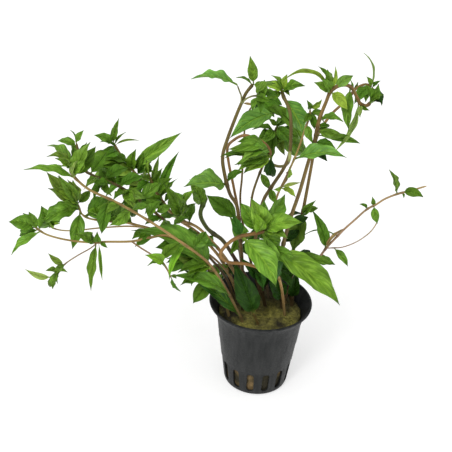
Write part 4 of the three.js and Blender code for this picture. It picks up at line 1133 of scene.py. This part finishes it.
@dataclass
class StemModel:
    """Builds a stem: a round tube that tapers, swells at its joints and closes at its tip.

    Attributes:
        step: distance between its rings, in millimetres.
        sides: resolution of the ring, as the curve counts it.
        swelling: how much thicker a joint is, as a share of the radius.
        joint_reach: half length of a joint, in millimetres.
        joint_shade: how much darker a joint is, from 0 to 1.
        tip_reach: length over which the growing tip rounds off, in millimetres.
        tip_end: radius left at the very tip, as a share.
        slimness: radius of the round stem against that of its four-angled solid.
        colour_places: where along the stem it has its base, middle and tip colours.
        merge_distance: how close two vertices are to be merged, in millimetres.
    """

    step: float = 1.1
    sides: int = 4
    swelling: float = 0.3
    joint_reach: float = 1.3
    joint_shade: float = 0.45
    tip_reach: float = 2.2
    tip_end: float = 0.2
    slimness: float = 0.82
    colour_places: tuple[float, float, float] = (0.1, 0.42, 1.0)
    merge_distance: float = 0.01

    def build(self, stem: Stem, material: bpy.types.Material) -> bpy.types.Object:
        """Builds the stem with its side shoots.

        Args:
            stem: its route, radii and leaves.
            material: its finish.

        Returns:
            The finished piece.
        """
        bark = stem.bark.value
        shoot = replace(bark, base=bark.shoot, middle=bark.shoot)
        tubes = [self.tube(stem.branches[0], bark)]
        tubes += [self.tube(branch, shoot) for branch in stem.branches[1:]]
        piece = join(tubes, stem.node + "_skin")
        finish_piece(piece, material, [stem.node])
        return piece

    def tube(self, branch: Branch, bark: BarkShade) -> bpy.types.Object:
        """Builds one branch as a bevelled curve made a mesh, with its colours along it."""
        centres, places = CentreLine(branch.route).samples(self.step)
        steps = [(end - start).length for start, end in zip(centres, centres[1:])]
        travelled = np.concatenate([[0.0], np.cumsum(steps)])
        shares = travelled / travelled[-1]
        joints = np.interp([leaf.place for leaf in branch.leaves], places, travelled)
        swell = np.zeros(len(centres))
        for joint in joints:
            swell = np.maximum(swell, np.exp(-(((travelled - joint) / self.joint_reach) ** 2)))
        radii = np.interp(shares, [0, 1], branch.radii) * self.slimness * (1 + self.swelling * swell)
        left = np.clip((travelled[-1] - travelled) / self.tip_reach, 0, 1)
        radii *= np.sqrt(1 - (1 - left) ** 2) * (1 - self.tip_end) + self.tip_end

        curve = bpy.data.curves.new("stem", "CURVE")
        curve.dimensions = "3D"
        curve.bevel_depth = MM
        curve.bevel_resolution = self.sides
        curve.use_fill_caps = True
        spline = curve.splines.new("POLY")
        spline.points.add(len(centres) - 1)
        for point, centre, radius in zip(spline.points, centres, radii):
            point.co = (*(centre * MM), 1.0)
            point.radius = radius
        curve_to_mesh(curve)
        piece = merge_doubles(self.merge_distance * MM, outwards=True)
        bpy.ops.object.shade_smooth()
        self.dress(piece, branch, centres, shares, swell, bark)
        self.measure_skin(piece, travelled[-1], branch.radii[0])
        return piece

    def dress(
        self, piece: bpy.types.Object, branch: Branch, centres: list[Vector], shares: np.ndarray,
        swell: np.ndarray, bark: BarkShade,
    ) -> None:
        """Stores the stem's colour at each vertex: base, middle and tip, and darker at the joints."""
        vertices = np.array([vertex.co for vertex in piece.data.vertices]) / MM
        middles = np.array(centres)
        nearest = np.argmin(((vertices[:, None, :] - middles[None, :, :]) ** 2).sum(axis=2), axis=1)
        colours = np.array([linear(bark.base), linear(bark.middle), linear(bark.tip)])
        where = shares[nearest]
        parts = [np.interp(where, self.colour_places, colours[:, part]) for part in range(4)]
        tone = np.stack(parts, axis=1)
        tone[:, :3] *= (1 - self.joint_shade * swell[nearest])[:, None]
        attribute = piece.data.attributes.new("tone", "FLOAT_COLOR", "POINT")
        attribute.data.foreach_set("color", tone.astype(np.float32).ravel())

    def measure_skin(self, piece: bpy.types.Object, length: float, radius: float) -> None:
        """Scales the UV map to millimetres along and around the stem."""
        layer = piece.data.uv_layers[0]
        layer.name = "skin"
        flat = np.empty(len(layer.data) * 2, np.float32)
        layer.data.foreach_get("uv", flat)
        flat = flat.reshape(-1, 2) * np.array([length, 2 * math.pi * radius], np.float32)
        layer.data.foreach_set("uv", flat.ravel())


class BladeForm(Enum):
    """The sheets that the blades are cut from: rows along the leaf and columns across it."""

    LARGE = (56, 14)
    MEDIUM = (20, 8)
    SMALL = (9, 4)


@dataclass
class BladeModel:
    """Models a flat leaf blade once for each form, and bends a copy of it for every leaf.

    The sheet lies in X and Y: X runs from -1 to 1 across the widest place and Y from 0 to 1 along the leaf.

    Attributes:
        widest_power: where the outline is widest.
        fullness_power: how full the outline is.
        tip_power: how much finer it is drawn out towards the tip.
        stalk_share: share of the length that is stalk.
        stalk_width: width of the stalk against the blade's.
        fold: how far the edges rise, as a share of the half width.
        quilting: height of the cushions between the side veins, in millimetres.
        thickness: of the blade between its veins, in millimetres.
        rib: extra thickness of the midrib below, in millimetres.
        teeth: number of teeth along each edge.
        tooth_depth: as a share of the half width.
        ruffle: height of the waves in the edge, as a share of the half width.
        twist: largest turn of the tip against the base, in degrees.
        loll: largest turn of a small blade to one side, in degrees.
        sway: largest sideways bend, as a share of the length.
        curl: how far a blade that curls back at its tip stands up before it, as a share of the length.
        rib_reach: half width of the midrib, in millimetres.
        waves: fewest and most waves along an edge.
        brightness: darkest and brightest factor on a leaf's colour.
        redness: least and most factor on its red part.
        medium_length: length from which a leaf without a solid gets the medium sheet, in millimetres.
        smooth_angle: largest angle between faces that is shaded smooth, in degrees.
    """

    widest_power: float = 0.75
    fullness_power: float = 0.95
    tip_power: float = 0.33
    stalk_share: float = 0.1
    stalk_width: float = 0.13
    fold: float = 0.5
    quilting: float = 0.4
    thickness: float = 0.16
    rib: float = 0.3
    teeth: int = 10
    tooth_depth: float = 0.05
    ruffle: float = 0.2
    twist: float = 34.0
    loll: float = 34.0
    sway: float = 0.05
    curl: float = 0.26
    rib_reach: float = 0.4
    waves: tuple[float, float] = (2.2, 3.6)
    brightness: tuple[float, float] = (0.84, 1.16)
    redness: tuple[float, float] = (0.88, 1.12)
    medium_length: float = 12.0
    smooth_angle: float = 60.0
    sheets: dict[BladeForm, bpy.types.Object] = field(default_factory=dict)

    def outline(self, share: float) -> float:
        """Returns the half width at a share of the length, where 1 is the widest."""
        blade = max(0.0, (share - self.stalk_share) / (1 - self.stalk_share))
        grown = max(math.sin(math.pi * blade ** self.widest_power), 0.0)
        grown **= self.fullness_power + self.tip_power * blade ** 3
        return max(self.stalk_width * (1 - share) ** 0.5, grown, 0.012)

    def sheet(self, form: BladeForm) -> bpy.types.Object:
        """Returns the flat sheet of a form, which is modelled on first use."""
        if form in self.sheets:
            return self.sheets[form]
        rows, columns = form.value
        clear_selection()
        bpy.ops.mesh.primitive_grid_add(x_subdivisions=columns, y_subdivisions=rows, size=2)
        sheet = bpy.context.object
        sheet.name = "blade_" + form.name.lower()
        sheet.data.uv_layers[0].name = "blade"
        bpy.ops.object.mode_set(mode="EDIT")
        bpy.ops.transform.translate(value=(0, 1, 0))
        bpy.ops.transform.resize(value=(1, 0.5, 1), center_override=(0, 0, 0))
        bpy.ops.object.mode_set(mode="OBJECT")
        for row in range(rows + 1):
            self.narrow(sheet, row / rows)
        apply_modifier(sheet, "SOLIDIFY", thickness=0.01, offset=-1.0)
        self.sheets[form] = sheet
        return sheet

    def narrow(self, sheet: bpy.types.Object, share: float) -> None:
        """Scales one row of the sheet to the outline."""
        for vertex in sheet.data.vertices:
            vertex.select = abs(vertex.co.y - share) < 1e-4
        for part in (sheet.data.edges, sheet.data.polygons):
            part.foreach_set("select", [False] * len(part))
        bpy.ops.object.mode_set(mode="EDIT")
        bpy.ops.transform.resize(value=(self.outline(share), 1, 1), center_override=(0, share, 0))
        bpy.ops.object.mode_set(mode="OBJECT")

    def discard(self) -> None:
        """Deletes the flat sheets."""
        for sheet in self.sheets.values():
            bpy.data.objects.remove(sheet)

    def form_of(self, leaf: Leaf) -> BladeForm:
        """Returns the sheet that a leaf is cut from, by its importance and its length."""
        if leaf.node:
            return BladeForm.LARGE
        return BladeForm.MEDIUM if leaf.length >= self.medium_length else BladeForm.SMALL

    def grow(self, leaf: Leaf, line: CentreLine, draw: random.Random) -> bpy.types.Object:
        """Bends a copy of the sheet to one leaf.

        Args:
            leaf: its place, direction and size.
            line: the centre line of the stem that it grows from.
            draw: the source of its small irregularities.

        Returns:
            The leaf, with its colour and its underside stored as attributes.
        """
        sheet = self.sheet(self.form_of(leaf))
        piece = sheet.copy()
        piece.data = sheet.data.copy()
        bpy.context.scene.collection.objects.link(piece)
        count = len(piece.data.vertices)
        flat = np.empty(count * 3)
        piece.data.vertices.foreach_get("co", flat)
        across, share, depth = flat.reshape(-1, 3).T
        under = (depth < -0.005).astype(float)
        bent = self.bend(leaf, line, across, share, under, draw)
        piece.data.vertices.foreach_set("co", (bent * MM).astype(np.float32).ravel())
        self.store(piece, leaf, share, under, draw)
        piece.data.update()
        return piece

    def bend(
        self, leaf: Leaf, line: CentreLine, across: np.ndarray, share: np.ndarray, under: np.ndarray,
        draw: random.Random,
    ) -> np.ndarray:
        """Returns where each vertex of the sheet goes, in millimetres."""
        heading, rise = math.radians(leaf.heading), math.radians(leaf.rise)
        along = Vector((
            math.cos(rise) * math.cos(heading), math.cos(rise) * math.sin(heading), math.sin(rise),
        ))
        face = (LIGHT - LIGHT.project(along)).normalized()
        loll = 0.0 if leaf.node else draw.uniform(-self.loll, self.loll)
        face.rotate(Matrix.Rotation(math.radians(leaf.roll + loll), 3, along))
        sideways = along.cross(face)
        bulge = face * (leaf.arch * leaf.length) + (UP - UP.project(along)) * (leaf.lift * leaf.length)

        half = leaf.width / 2
        outline = np.vectorize(self.outline)(share)
        edge = across / outline
        if leaf.node:
            tooth = np.abs(np.mod(share * self.teeth, 1.0) - 0.25)
            toothed = np.abs(edge) ** 3 * (share > self.stalk_share)
            across = across * (1 - self.tooth_depth * tooth * toothed)
        turns = share * draw.uniform(*self.waves) + draw.random()
        wave = np.sin(2 * math.pi * turns + np.sign(edge) * draw.uniform(0.4, 1.4))
        height = half * (self.fold * np.abs(across) + self.ruffle * wave * np.abs(edge) ** 3 * outline)
        veins = np.abs(np.sin(math.pi * (share * VEIN_PAIRS - VEIN_LEAN * np.abs(edge) ** VEIN_CURVE)))
        cushion = np.sqrt(veins) * (1 - edge ** 4) * outline
        height += self.quilting * min(1.0, half / 5) * cushion * np.clip(np.abs(edge) * 6, 0, 1)
        height -= under * (self.thickness * (1 - 0.4 * edge ** 2))
        height -= under * self.rib * np.exp(-((across * half / self.rib_reach) ** 2)) * (1 - 0.7 * share)

        turn = math.radians(draw.uniform(-self.twist, self.twist)) * share
        middle = draw.uniform(-self.sway, self.sway) * leaf.length * 2 * share * (1 - share)
        swing = 2 * share * (1 - share)
        tangent = np.outer(np.ones_like(share), along * leaf.length) + np.outer(2 * (1 - 2 * share), bulge)
        tangent /= np.linalg.norm(tangent, axis=1)[:, None]
        upright = np.array(face) - tangent * (tangent @ np.array(face))[:, None]
        upright /= np.linalg.norm(upright, axis=1)[:, None]
        flank = np.cross(tangent, upright)
        turned_flank = flank * np.cos(turn)[:, None] + upright * np.sin(turn)[:, None]
        turned_upright = upright * np.cos(turn)[:, None] - flank * np.sin(turn)[:, None]
        root = np.array(line.at(leaf.place))
        hang = draw.uniform(0.2, 1.0) * self.curl * leaf.length * (share - share ** 3)
        return (
            root + np.outer(share * leaf.length, along) + np.outer(swing, bulge) + np.outer(hang, face)
            + np.outer(middle, sideways) + turned_flank * (across * half)[:, None]
            + turned_upright * height[:, None]
        )

    def store(
        self, piece: bpy.types.Object, leaf: Leaf, share: np.ndarray, under: np.ndarray, draw: random.Random
    ) -> None:
        """Stores the leaf's colour, a little different on each leaf, and which side each vertex is on."""
        shade = leaf.tone.value
        colour = np.array(linear(shade.blade))
        colour[:3] *= draw.uniform(*self.brightness)
        colour[0] *= draw.uniform(*self.redness)
        colour[3] = shade.veins
        tone = piece.data.attributes.new("tone", "FLOAT_COLOR", "POINT")
        tone.data.foreach_set("color", np.tile(colour, len(share)).astype(np.float32))
        lower = piece.data.attributes.new("underside", "FLOAT", "POINT")
        lower.data.foreach_set("value", under.astype(np.float32))


class Foliage:
    """Grows the leaves: one that has a solid of its own singly, the others joined by stem and finish."""

    def __init__(self, blades: BladeModel, finishes: dict[LeafSlot, bpy.types.Material]) -> None:
        """Keeps the blade model and the finishes.

        Args:
            blades: bends a leaf.
            finishes: the material of each slot.
        """
        self.blades = blades
        self.finishes = finishes
        self.slots = {row["node"]: row["material_slot"] for row in frame["record"]["subparts"]}

    def grow(self, stem: Stem) -> None:
        """Grows the leaves of one stem and its side shoots."""
        draw = random.Random(f"{SEED} {stem.node}")
        clusters: dict[LeafSlot, list[bpy.types.Object]] = {}
        for branch in stem.branches:
            line = CentreLine(branch.route)
            for leaf in branch.leaves:
                piece = self.blades.grow(leaf, line, draw)
                if leaf.node:
                    slot = LeafSlot(self.slots[leaf.node])
                    self.finish(piece, leaf.node + "_blade", slot, leaf.node)
                else:
                    clusters.setdefault(SLOT_OF_TONE[leaf.tone], []).append(piece)
        for slot, pieces in clusters.items():
            name = f"{stem.node}_{slot.value}"
            self.finish(join(pieces, name), name, slot, stem.node)

    def finish(self, piece: bpy.types.Object, name: str, slot: LeafSlot, node: str) -> None:
        """Names, smooths and dresses a leaf or a cluster."""
        piece.name = name
        make_active(piece)
        bpy.ops.object.shade_smooth_by_angle(angle=math.radians(self.blades.smooth_angle))
        finish_piece(piece, self.finishes[slot], [node])


@dataclass
class NetPot:
    """The pot: a flat base, a wall that opens in slight steps, a rolled lip and a row of slots.

    Attributes:
        outside: radius and height of each ring of the outside, in millimetres, from the base up to the lip.
        lip: the same for the rolled lip, over to its inner edge.
        wall: thickness of the wall.
        floor: thickness of the base.
        sides: number of faces round the wall.
        slots: number of slots.
        slot_width: of one slot.
        slot_foot: height of its lower end.
        slot_head: height of its upper end.
        slot_turn: degrees from the front to the nearest slot, positive to the right.
        cutter_depth: how deep the block is that cuts a slot.
        cutter_radius: distance of its middle from the pot's axis.
        slot_rounding: radius of a slot's corners, as a share of its width.
        slot_segments: number of faces round a slot's corner.
        smooth_angle: largest angle between faces that is shaded smooth, in degrees.
    """

    outside: tuple[tuple[float, float], ...] = (
        (15.6, 0.0), (16.2, 0.25), (17.1, 0.9), (17.4, 1.8), (18.9, 13.5), (19.0, 15.8), (19.5, 16.6),
        (20.8, 27.5), (21.1, 28.3), (22.3, 39.4), (22.5, 40.2), (23.5, 44.5), (24.2, 46.5), (25.4, 48.3),
    )
    lip: tuple[tuple[float, float], ...] = (
        (26.4, 49.4), (26.85, 49.9), (27.0, 50.4), (26.85, 50.8), (26.4, 51.0), (25.9, 50.85), (25.7, 50.4),
    )
    wall: float = 1.0
    floor: float = 1.4
    sides: int = 112
    slots: int = 14
    slot_width: float = 3.8
    slot_foot: float = 3.0
    slot_head: float = 15.0
    slot_turn: float = -10.5
    cutter_depth: float = 8.0
    cutter_radius: float = 18.5
    slot_rounding: float = 0.42
    slot_segments: int = 5
    smooth_angle: float = 32.0

    def build(self, material: bpy.types.Material) -> bpy.types.Object:
        """Returns the finished pot."""
        inside = tuple((radius - self.wall, height) for radius, height in reversed(self.outside[4:]))
        floor = ((self.outside[3][0] - self.wall, self.floor), (4.0, self.floor))
        rings = self.outside + self.lip + inside + floor
        pot = stack_rings(rings, self.sides)
        cutter = self.slot_cutter()
        apply_modifier(pot, "BOOLEAN", object=cutter, operation="DIFFERENCE", solver="EXACT")
        bpy.data.objects.remove(cutter)
        pot.name = "net_pot"
        make_active(pot)
        bpy.ops.object.shade_smooth_by_angle(angle=math.radians(self.smooth_angle))
        finish_piece(pot, material, ["pot"])
        return pot

    def slot_cutter(self) -> bpy.types.Object:
        """Returns the block with rounded ends that cuts one slot, copied all round."""
        clear_selection()
        bpy.ops.mesh.primitive_cube_add(size=1)
        block = bpy.context.object
        size = (self.cutter_depth * MM, self.slot_width * MM, (self.slot_head - self.slot_foot) * MM)
        bpy.ops.object.mode_set(mode="EDIT")
        bpy.ops.transform.resize(value=size)
        bpy.ops.object.mode_set(mode="OBJECT")
        for edge in block.data.edges:
            start, end = (block.data.vertices[index].co for index in edge.vertices)
            edge.select = abs(start.x - end.x) > MM
        bpy.ops.object.mode_set(mode="EDIT")
        bpy.ops.mesh.select_mode(type="EDGE")
        bpy.ops.mesh.bevel(offset=self.slot_rounding * self.slot_width * MM, segments=self.slot_segments)
        bpy.ops.object.mode_set(mode="OBJECT")
        middle = (self.slot_head + self.slot_foot) / 2
        outwards = Matrix.Translation((self.cutter_radius * MM, 0, middle * MM))
        copies = []
        for number in range(self.slots):
            copied = block.copy()
            copied.data = block.data.copy()
            bpy.context.scene.collection.objects.link(copied)
            angle = math.radians(self.slot_turn - 90 + number * 360 / self.slots)
            copied.data.transform(Matrix.Rotation(angle, 4, "Z") @ outwards)
            copies.append(copied)
        bpy.data.objects.remove(block)
        return join(copies, "slot_cutter")


@dataclass
class WoolPlug:
    """The rock wool: a plug that fills the pot, with a lumpy crown and a felt of loose fibres.

    Attributes:
        wall: radius and height of each ring of its side, in millimetres.
        crown: the same for the top, from the shoulder to the middle.
        sides: number of faces round it.
        lump: height of the lumps in the crown.
        fibres: number of loose fibres on the crown.
        fibre_radius: half thickness of a fibre, drawn thicker than the real 0.01 mm so that it shows.
        fibre_lengths: shortest and longest fibre.
        fibre_heights: lowest and highest arc.
        fibre_steps: number of straight steps in a fibre.
        fibre_sink: how far both ends dip below the crown.
        merge_distance: how close two vertices are to be merged.
    """

    wall: tuple[tuple[float, float], ...] = (
        (15.9, 1.8), (17.4, 15.0), (19.3, 27.5), (20.9, 39.8), (21.6, 43.0),
    )
    crown: tuple[tuple[float, float], ...] = (
        (20.9, 44.1), (19.6, 44.7), (18.2, 45.1), (16.8, 45.4), (15.3, 45.6), (13.7, 45.8), (12.0, 45.9),
        (10.2, 46.0), (8.3, 46.0), (6.3, 46.0), (4.2, 46.0), (2.1, 46.0),
    )
    sides: int = 72
    lump: float = 2.6
    fibres: int = 900
    fibre_radius: float = 0.09
    fibre_lengths: tuple[float, float] = (2.5, 6.5)
    fibre_heights: tuple[float, float] = (0.3, 1.3)
    fibre_steps: int = 4
    fibre_sink: float = 0.4
    merge_distance: float = 0.001

    def build(self, material: bpy.types.Material) -> bpy.types.Object:
        """Returns the finished plug with its fibres joined to it."""
        plug = stack_rings(self.wall + self.crown, self.sides)
        self.roughen(plug)
        fibres = self.felt(plug)
        plug = join([plug, fibres], "rock_wool_plug")
        finish_piece(plug, material, ["rock_wool"])
        return plug

    def roughen(self, plug: bpy.types.Object) -> None:
        """Raises lumps and hollows in the crown, and leaves the side as it is."""
        shoulder = self.wall[-1][1] * MM
        top = plug.vertex_groups.new(name="crown")
        crown = [vertex.index for vertex in plug.data.vertices if vertex.co.z > shoulder + 0.5 * MM]
        top.add(crown, 1.0, "ADD")
        for name, size, strength in (("swell", 9 * MM, self.lump), ("tuft", 2.2 * MM, self.lump / 2)):
            texture = bpy.data.textures.new(name, "CLOUDS")
            texture.noise_scale = size
            apply_modifier(
                plug, "DISPLACE", texture=texture, strength=strength * MM, mid_level=0.6, direction="Z",
                vertex_group="crown", texture_coords="LOCAL",
            )

    def felt(self, plug: bpy.types.Object) -> bpy.types.Object:
        """Returns the loose fibres as one mesh: short arcs that rise out of the crown and dip back in."""
        draw = random.Random(SEED)
        shoulder = self.wall[-1][1] * MM
        starts = [vertex.co.copy() for vertex in plug.data.vertices if vertex.co.z > shoulder + 0.3 * MM]
        curve = bpy.data.curves.new("fibres", "CURVE")
        curve.dimensions = "3D"
        curve.bevel_depth = self.fibre_radius * MM
        curve.bevel_resolution = 0
        curve.use_fill_caps = True
        limit = self.wall[-1][0] * MM
        for _ in range(self.fibres):
            start = draw.choice(starts)
            heading = draw.uniform(0, 2 * math.pi)
            length, bow = draw.uniform(*self.fibre_lengths) * MM, draw.uniform(-0.35, 0.35)
            height = draw.uniform(*self.fibre_heights) * MM
            spline = curve.splines.new("POLY")
            spline.points.add(self.fibre_steps)
            for number, point in enumerate(spline.points):
                share = number / self.fibre_steps
                angle = heading + bow * share * self.fibre_steps
                reach = (share - 0.5) * length
                x = start.x + reach * math.cos(angle)
                y = start.y + reach * math.sin(angle)
                away = math.hypot(x, y)
                if away > limit:
                    x, y = x * limit / away, y * limit / away
                z = start.z + height * math.sin(math.pi * share) - self.fibre_sink * MM
                point.co = (x, y, z, 1.0)
        curve_to_mesh(curve)
        return merge_doubles(self.merge_distance * MM, outwards=False)


@dataclass
class Studio:
    """A white floor, a pale surround, soft lamps, and the camera where the photograph was taken from.

    Attributes:
        eye: the camera's place, in metres.
        down: degrees that it looks below the horizon.
        tilt: degrees that it is tilted anticlockwise.
        focal: focal length in pixels, in a frame 452 pixels wide.
        frame_width: the photograph's width in pixels.
    """

    eye: Point = (-0.0200, -0.3675, 0.3106)
    down: float = 30.45
    tilt: float = 2.7
    focal: float = 854.0
    frame_width: float = 452.0

    def build(self) -> None:
        """Sets up the whole studio."""
        self.add_camera()
        self.add_floor()
        self.add_surround()
        self.add_lamp("overhead", (-0.35, -0.45, 1.0), 55.0, 1.2)
        self.add_lamp("side", (1.0, -0.5, 0.7), 70.0, 0.5)
        self.add_lamp("window", (-0.5, -0.9, 0.9), 14.0, 0.9)
        bpy.context.scene.view_settings.view_transform = "Standard"

    def add_camera(self) -> None:
        """Adds the camera."""
        data = bpy.data.cameras.new("camera")
        data.sensor_width = 36.0
        data.lens = data.sensor_width * self.focal / self.frame_width
        data.clip_start, data.clip_end = 0.01, 20.0
        camera = bpy.data.objects.new("camera", data)
        down, tilt = math.radians(self.down), math.radians(self.tilt)
        turn = Matrix.Rotation(math.pi / 2 - down, 4, "X") @ Matrix.Rotation(tilt, 4, "Z")
        camera.matrix_world = Matrix.Translation(self.eye) @ turn
        bpy.context.scene.collection.objects.link(camera)
        bpy.context.scene.camera = camera

    def add_floor(self) -> None:
        """Adds the white floor."""
        clear_selection()
        bpy.ops.mesh.primitive_plane_add(size=12)
        floor = bpy.context.object
        floor.name = "floor"
        material, _, shader = new_material("white_paper")
        shader.inputs["Base Color"].default_value = linear("#c8c8c8")
        shader.inputs["Emission Color"].default_value = linear("#ffffff")
        shader.inputs["Emission Strength"].default_value = 0.5
        shader.inputs["Roughness"].default_value = 0.9
        floor.data.materials.append(material)

    def add_surround(self) -> None:
        """Lights the scene evenly from all round."""
        world = bpy.data.worlds.new("surround")
        world.use_nodes = True
        background = world.node_tree.nodes["Background"]
        background.inputs["Color"].default_value = linear("#ffffff")
        background.inputs["Strength"].default_value = 0.5
        bpy.context.scene.world = world

    def add_lamp(self, name: str, towards: Point, spread: float, strength: float) -> None:
        """Adds a broad soft lamp, far away.

        Args:
            name: the lamp's name.
            towards: the direction that it shines from.
            spread: its width as seen from the plant, in degrees.
            strength: its strength.
        """
        data = bpy.data.lights.new(name, "SUN")
        data.angle = math.radians(spread)
        data.energy = strength
        lamp = bpy.data.objects.new(name, data)
        lamp.matrix_world = Vector(towards).to_track_quat("Z", "Y").to_matrix().to_4x4()
        bpy.context.scene.collection.objects.link(lamp)


def main() -> None:
    """Builds the studio, the pot, the wool and the plant."""
    logging.basicConfig(level=logging.INFO, format="%(message)s")
    Studio().build()
    NetPot().build(MouldedPolypropylene().build())
    WoolPlug().build(MineralWool().build())
    barks = {
        "stem_tan": GreenBark("satin_tan_stem_skin", "#6d4a2a").build(),
        "stem_brown": GreenBark("dull_brown_stem_skin", "#3b2a1a").build(),
    }
    leaves = {
        LeafSlot.YOUNG: WaxyLeaf("waxy_young_leaf", 0.4, 0.25, 0.25, 0.6, "#9fc34a", "#9db45c").build(),
        LeafSlot.MATURE: WaxyLeaf("waxy_quilted_leaf", 0.4, 0.25, 0.4, 0.75, "#85ae40", "#84a052").build(),
        # The shaded finish, with darker veins and underside and fewer pale streaks, is partly painted
        # shade.
        LeafSlot.SHADED: WaxyLeaf("waxy_dark_leaf", 0.45, 0.15, 0.3, 0.35, "#466a24", "#4f6f30").build(),
    }
    stems = StemModel()
    foliage = Foliage(BladeModel(), leaves)
    for stem in LEFT_STEMS + ARCH_STEMS + RIGHT_STEMS:
        stems.build(stem, barks[stem.bark.value.slot])
        foliage.grow(stem)
    foliage.blades.discard()


if __name__ == "__main__":
    main()
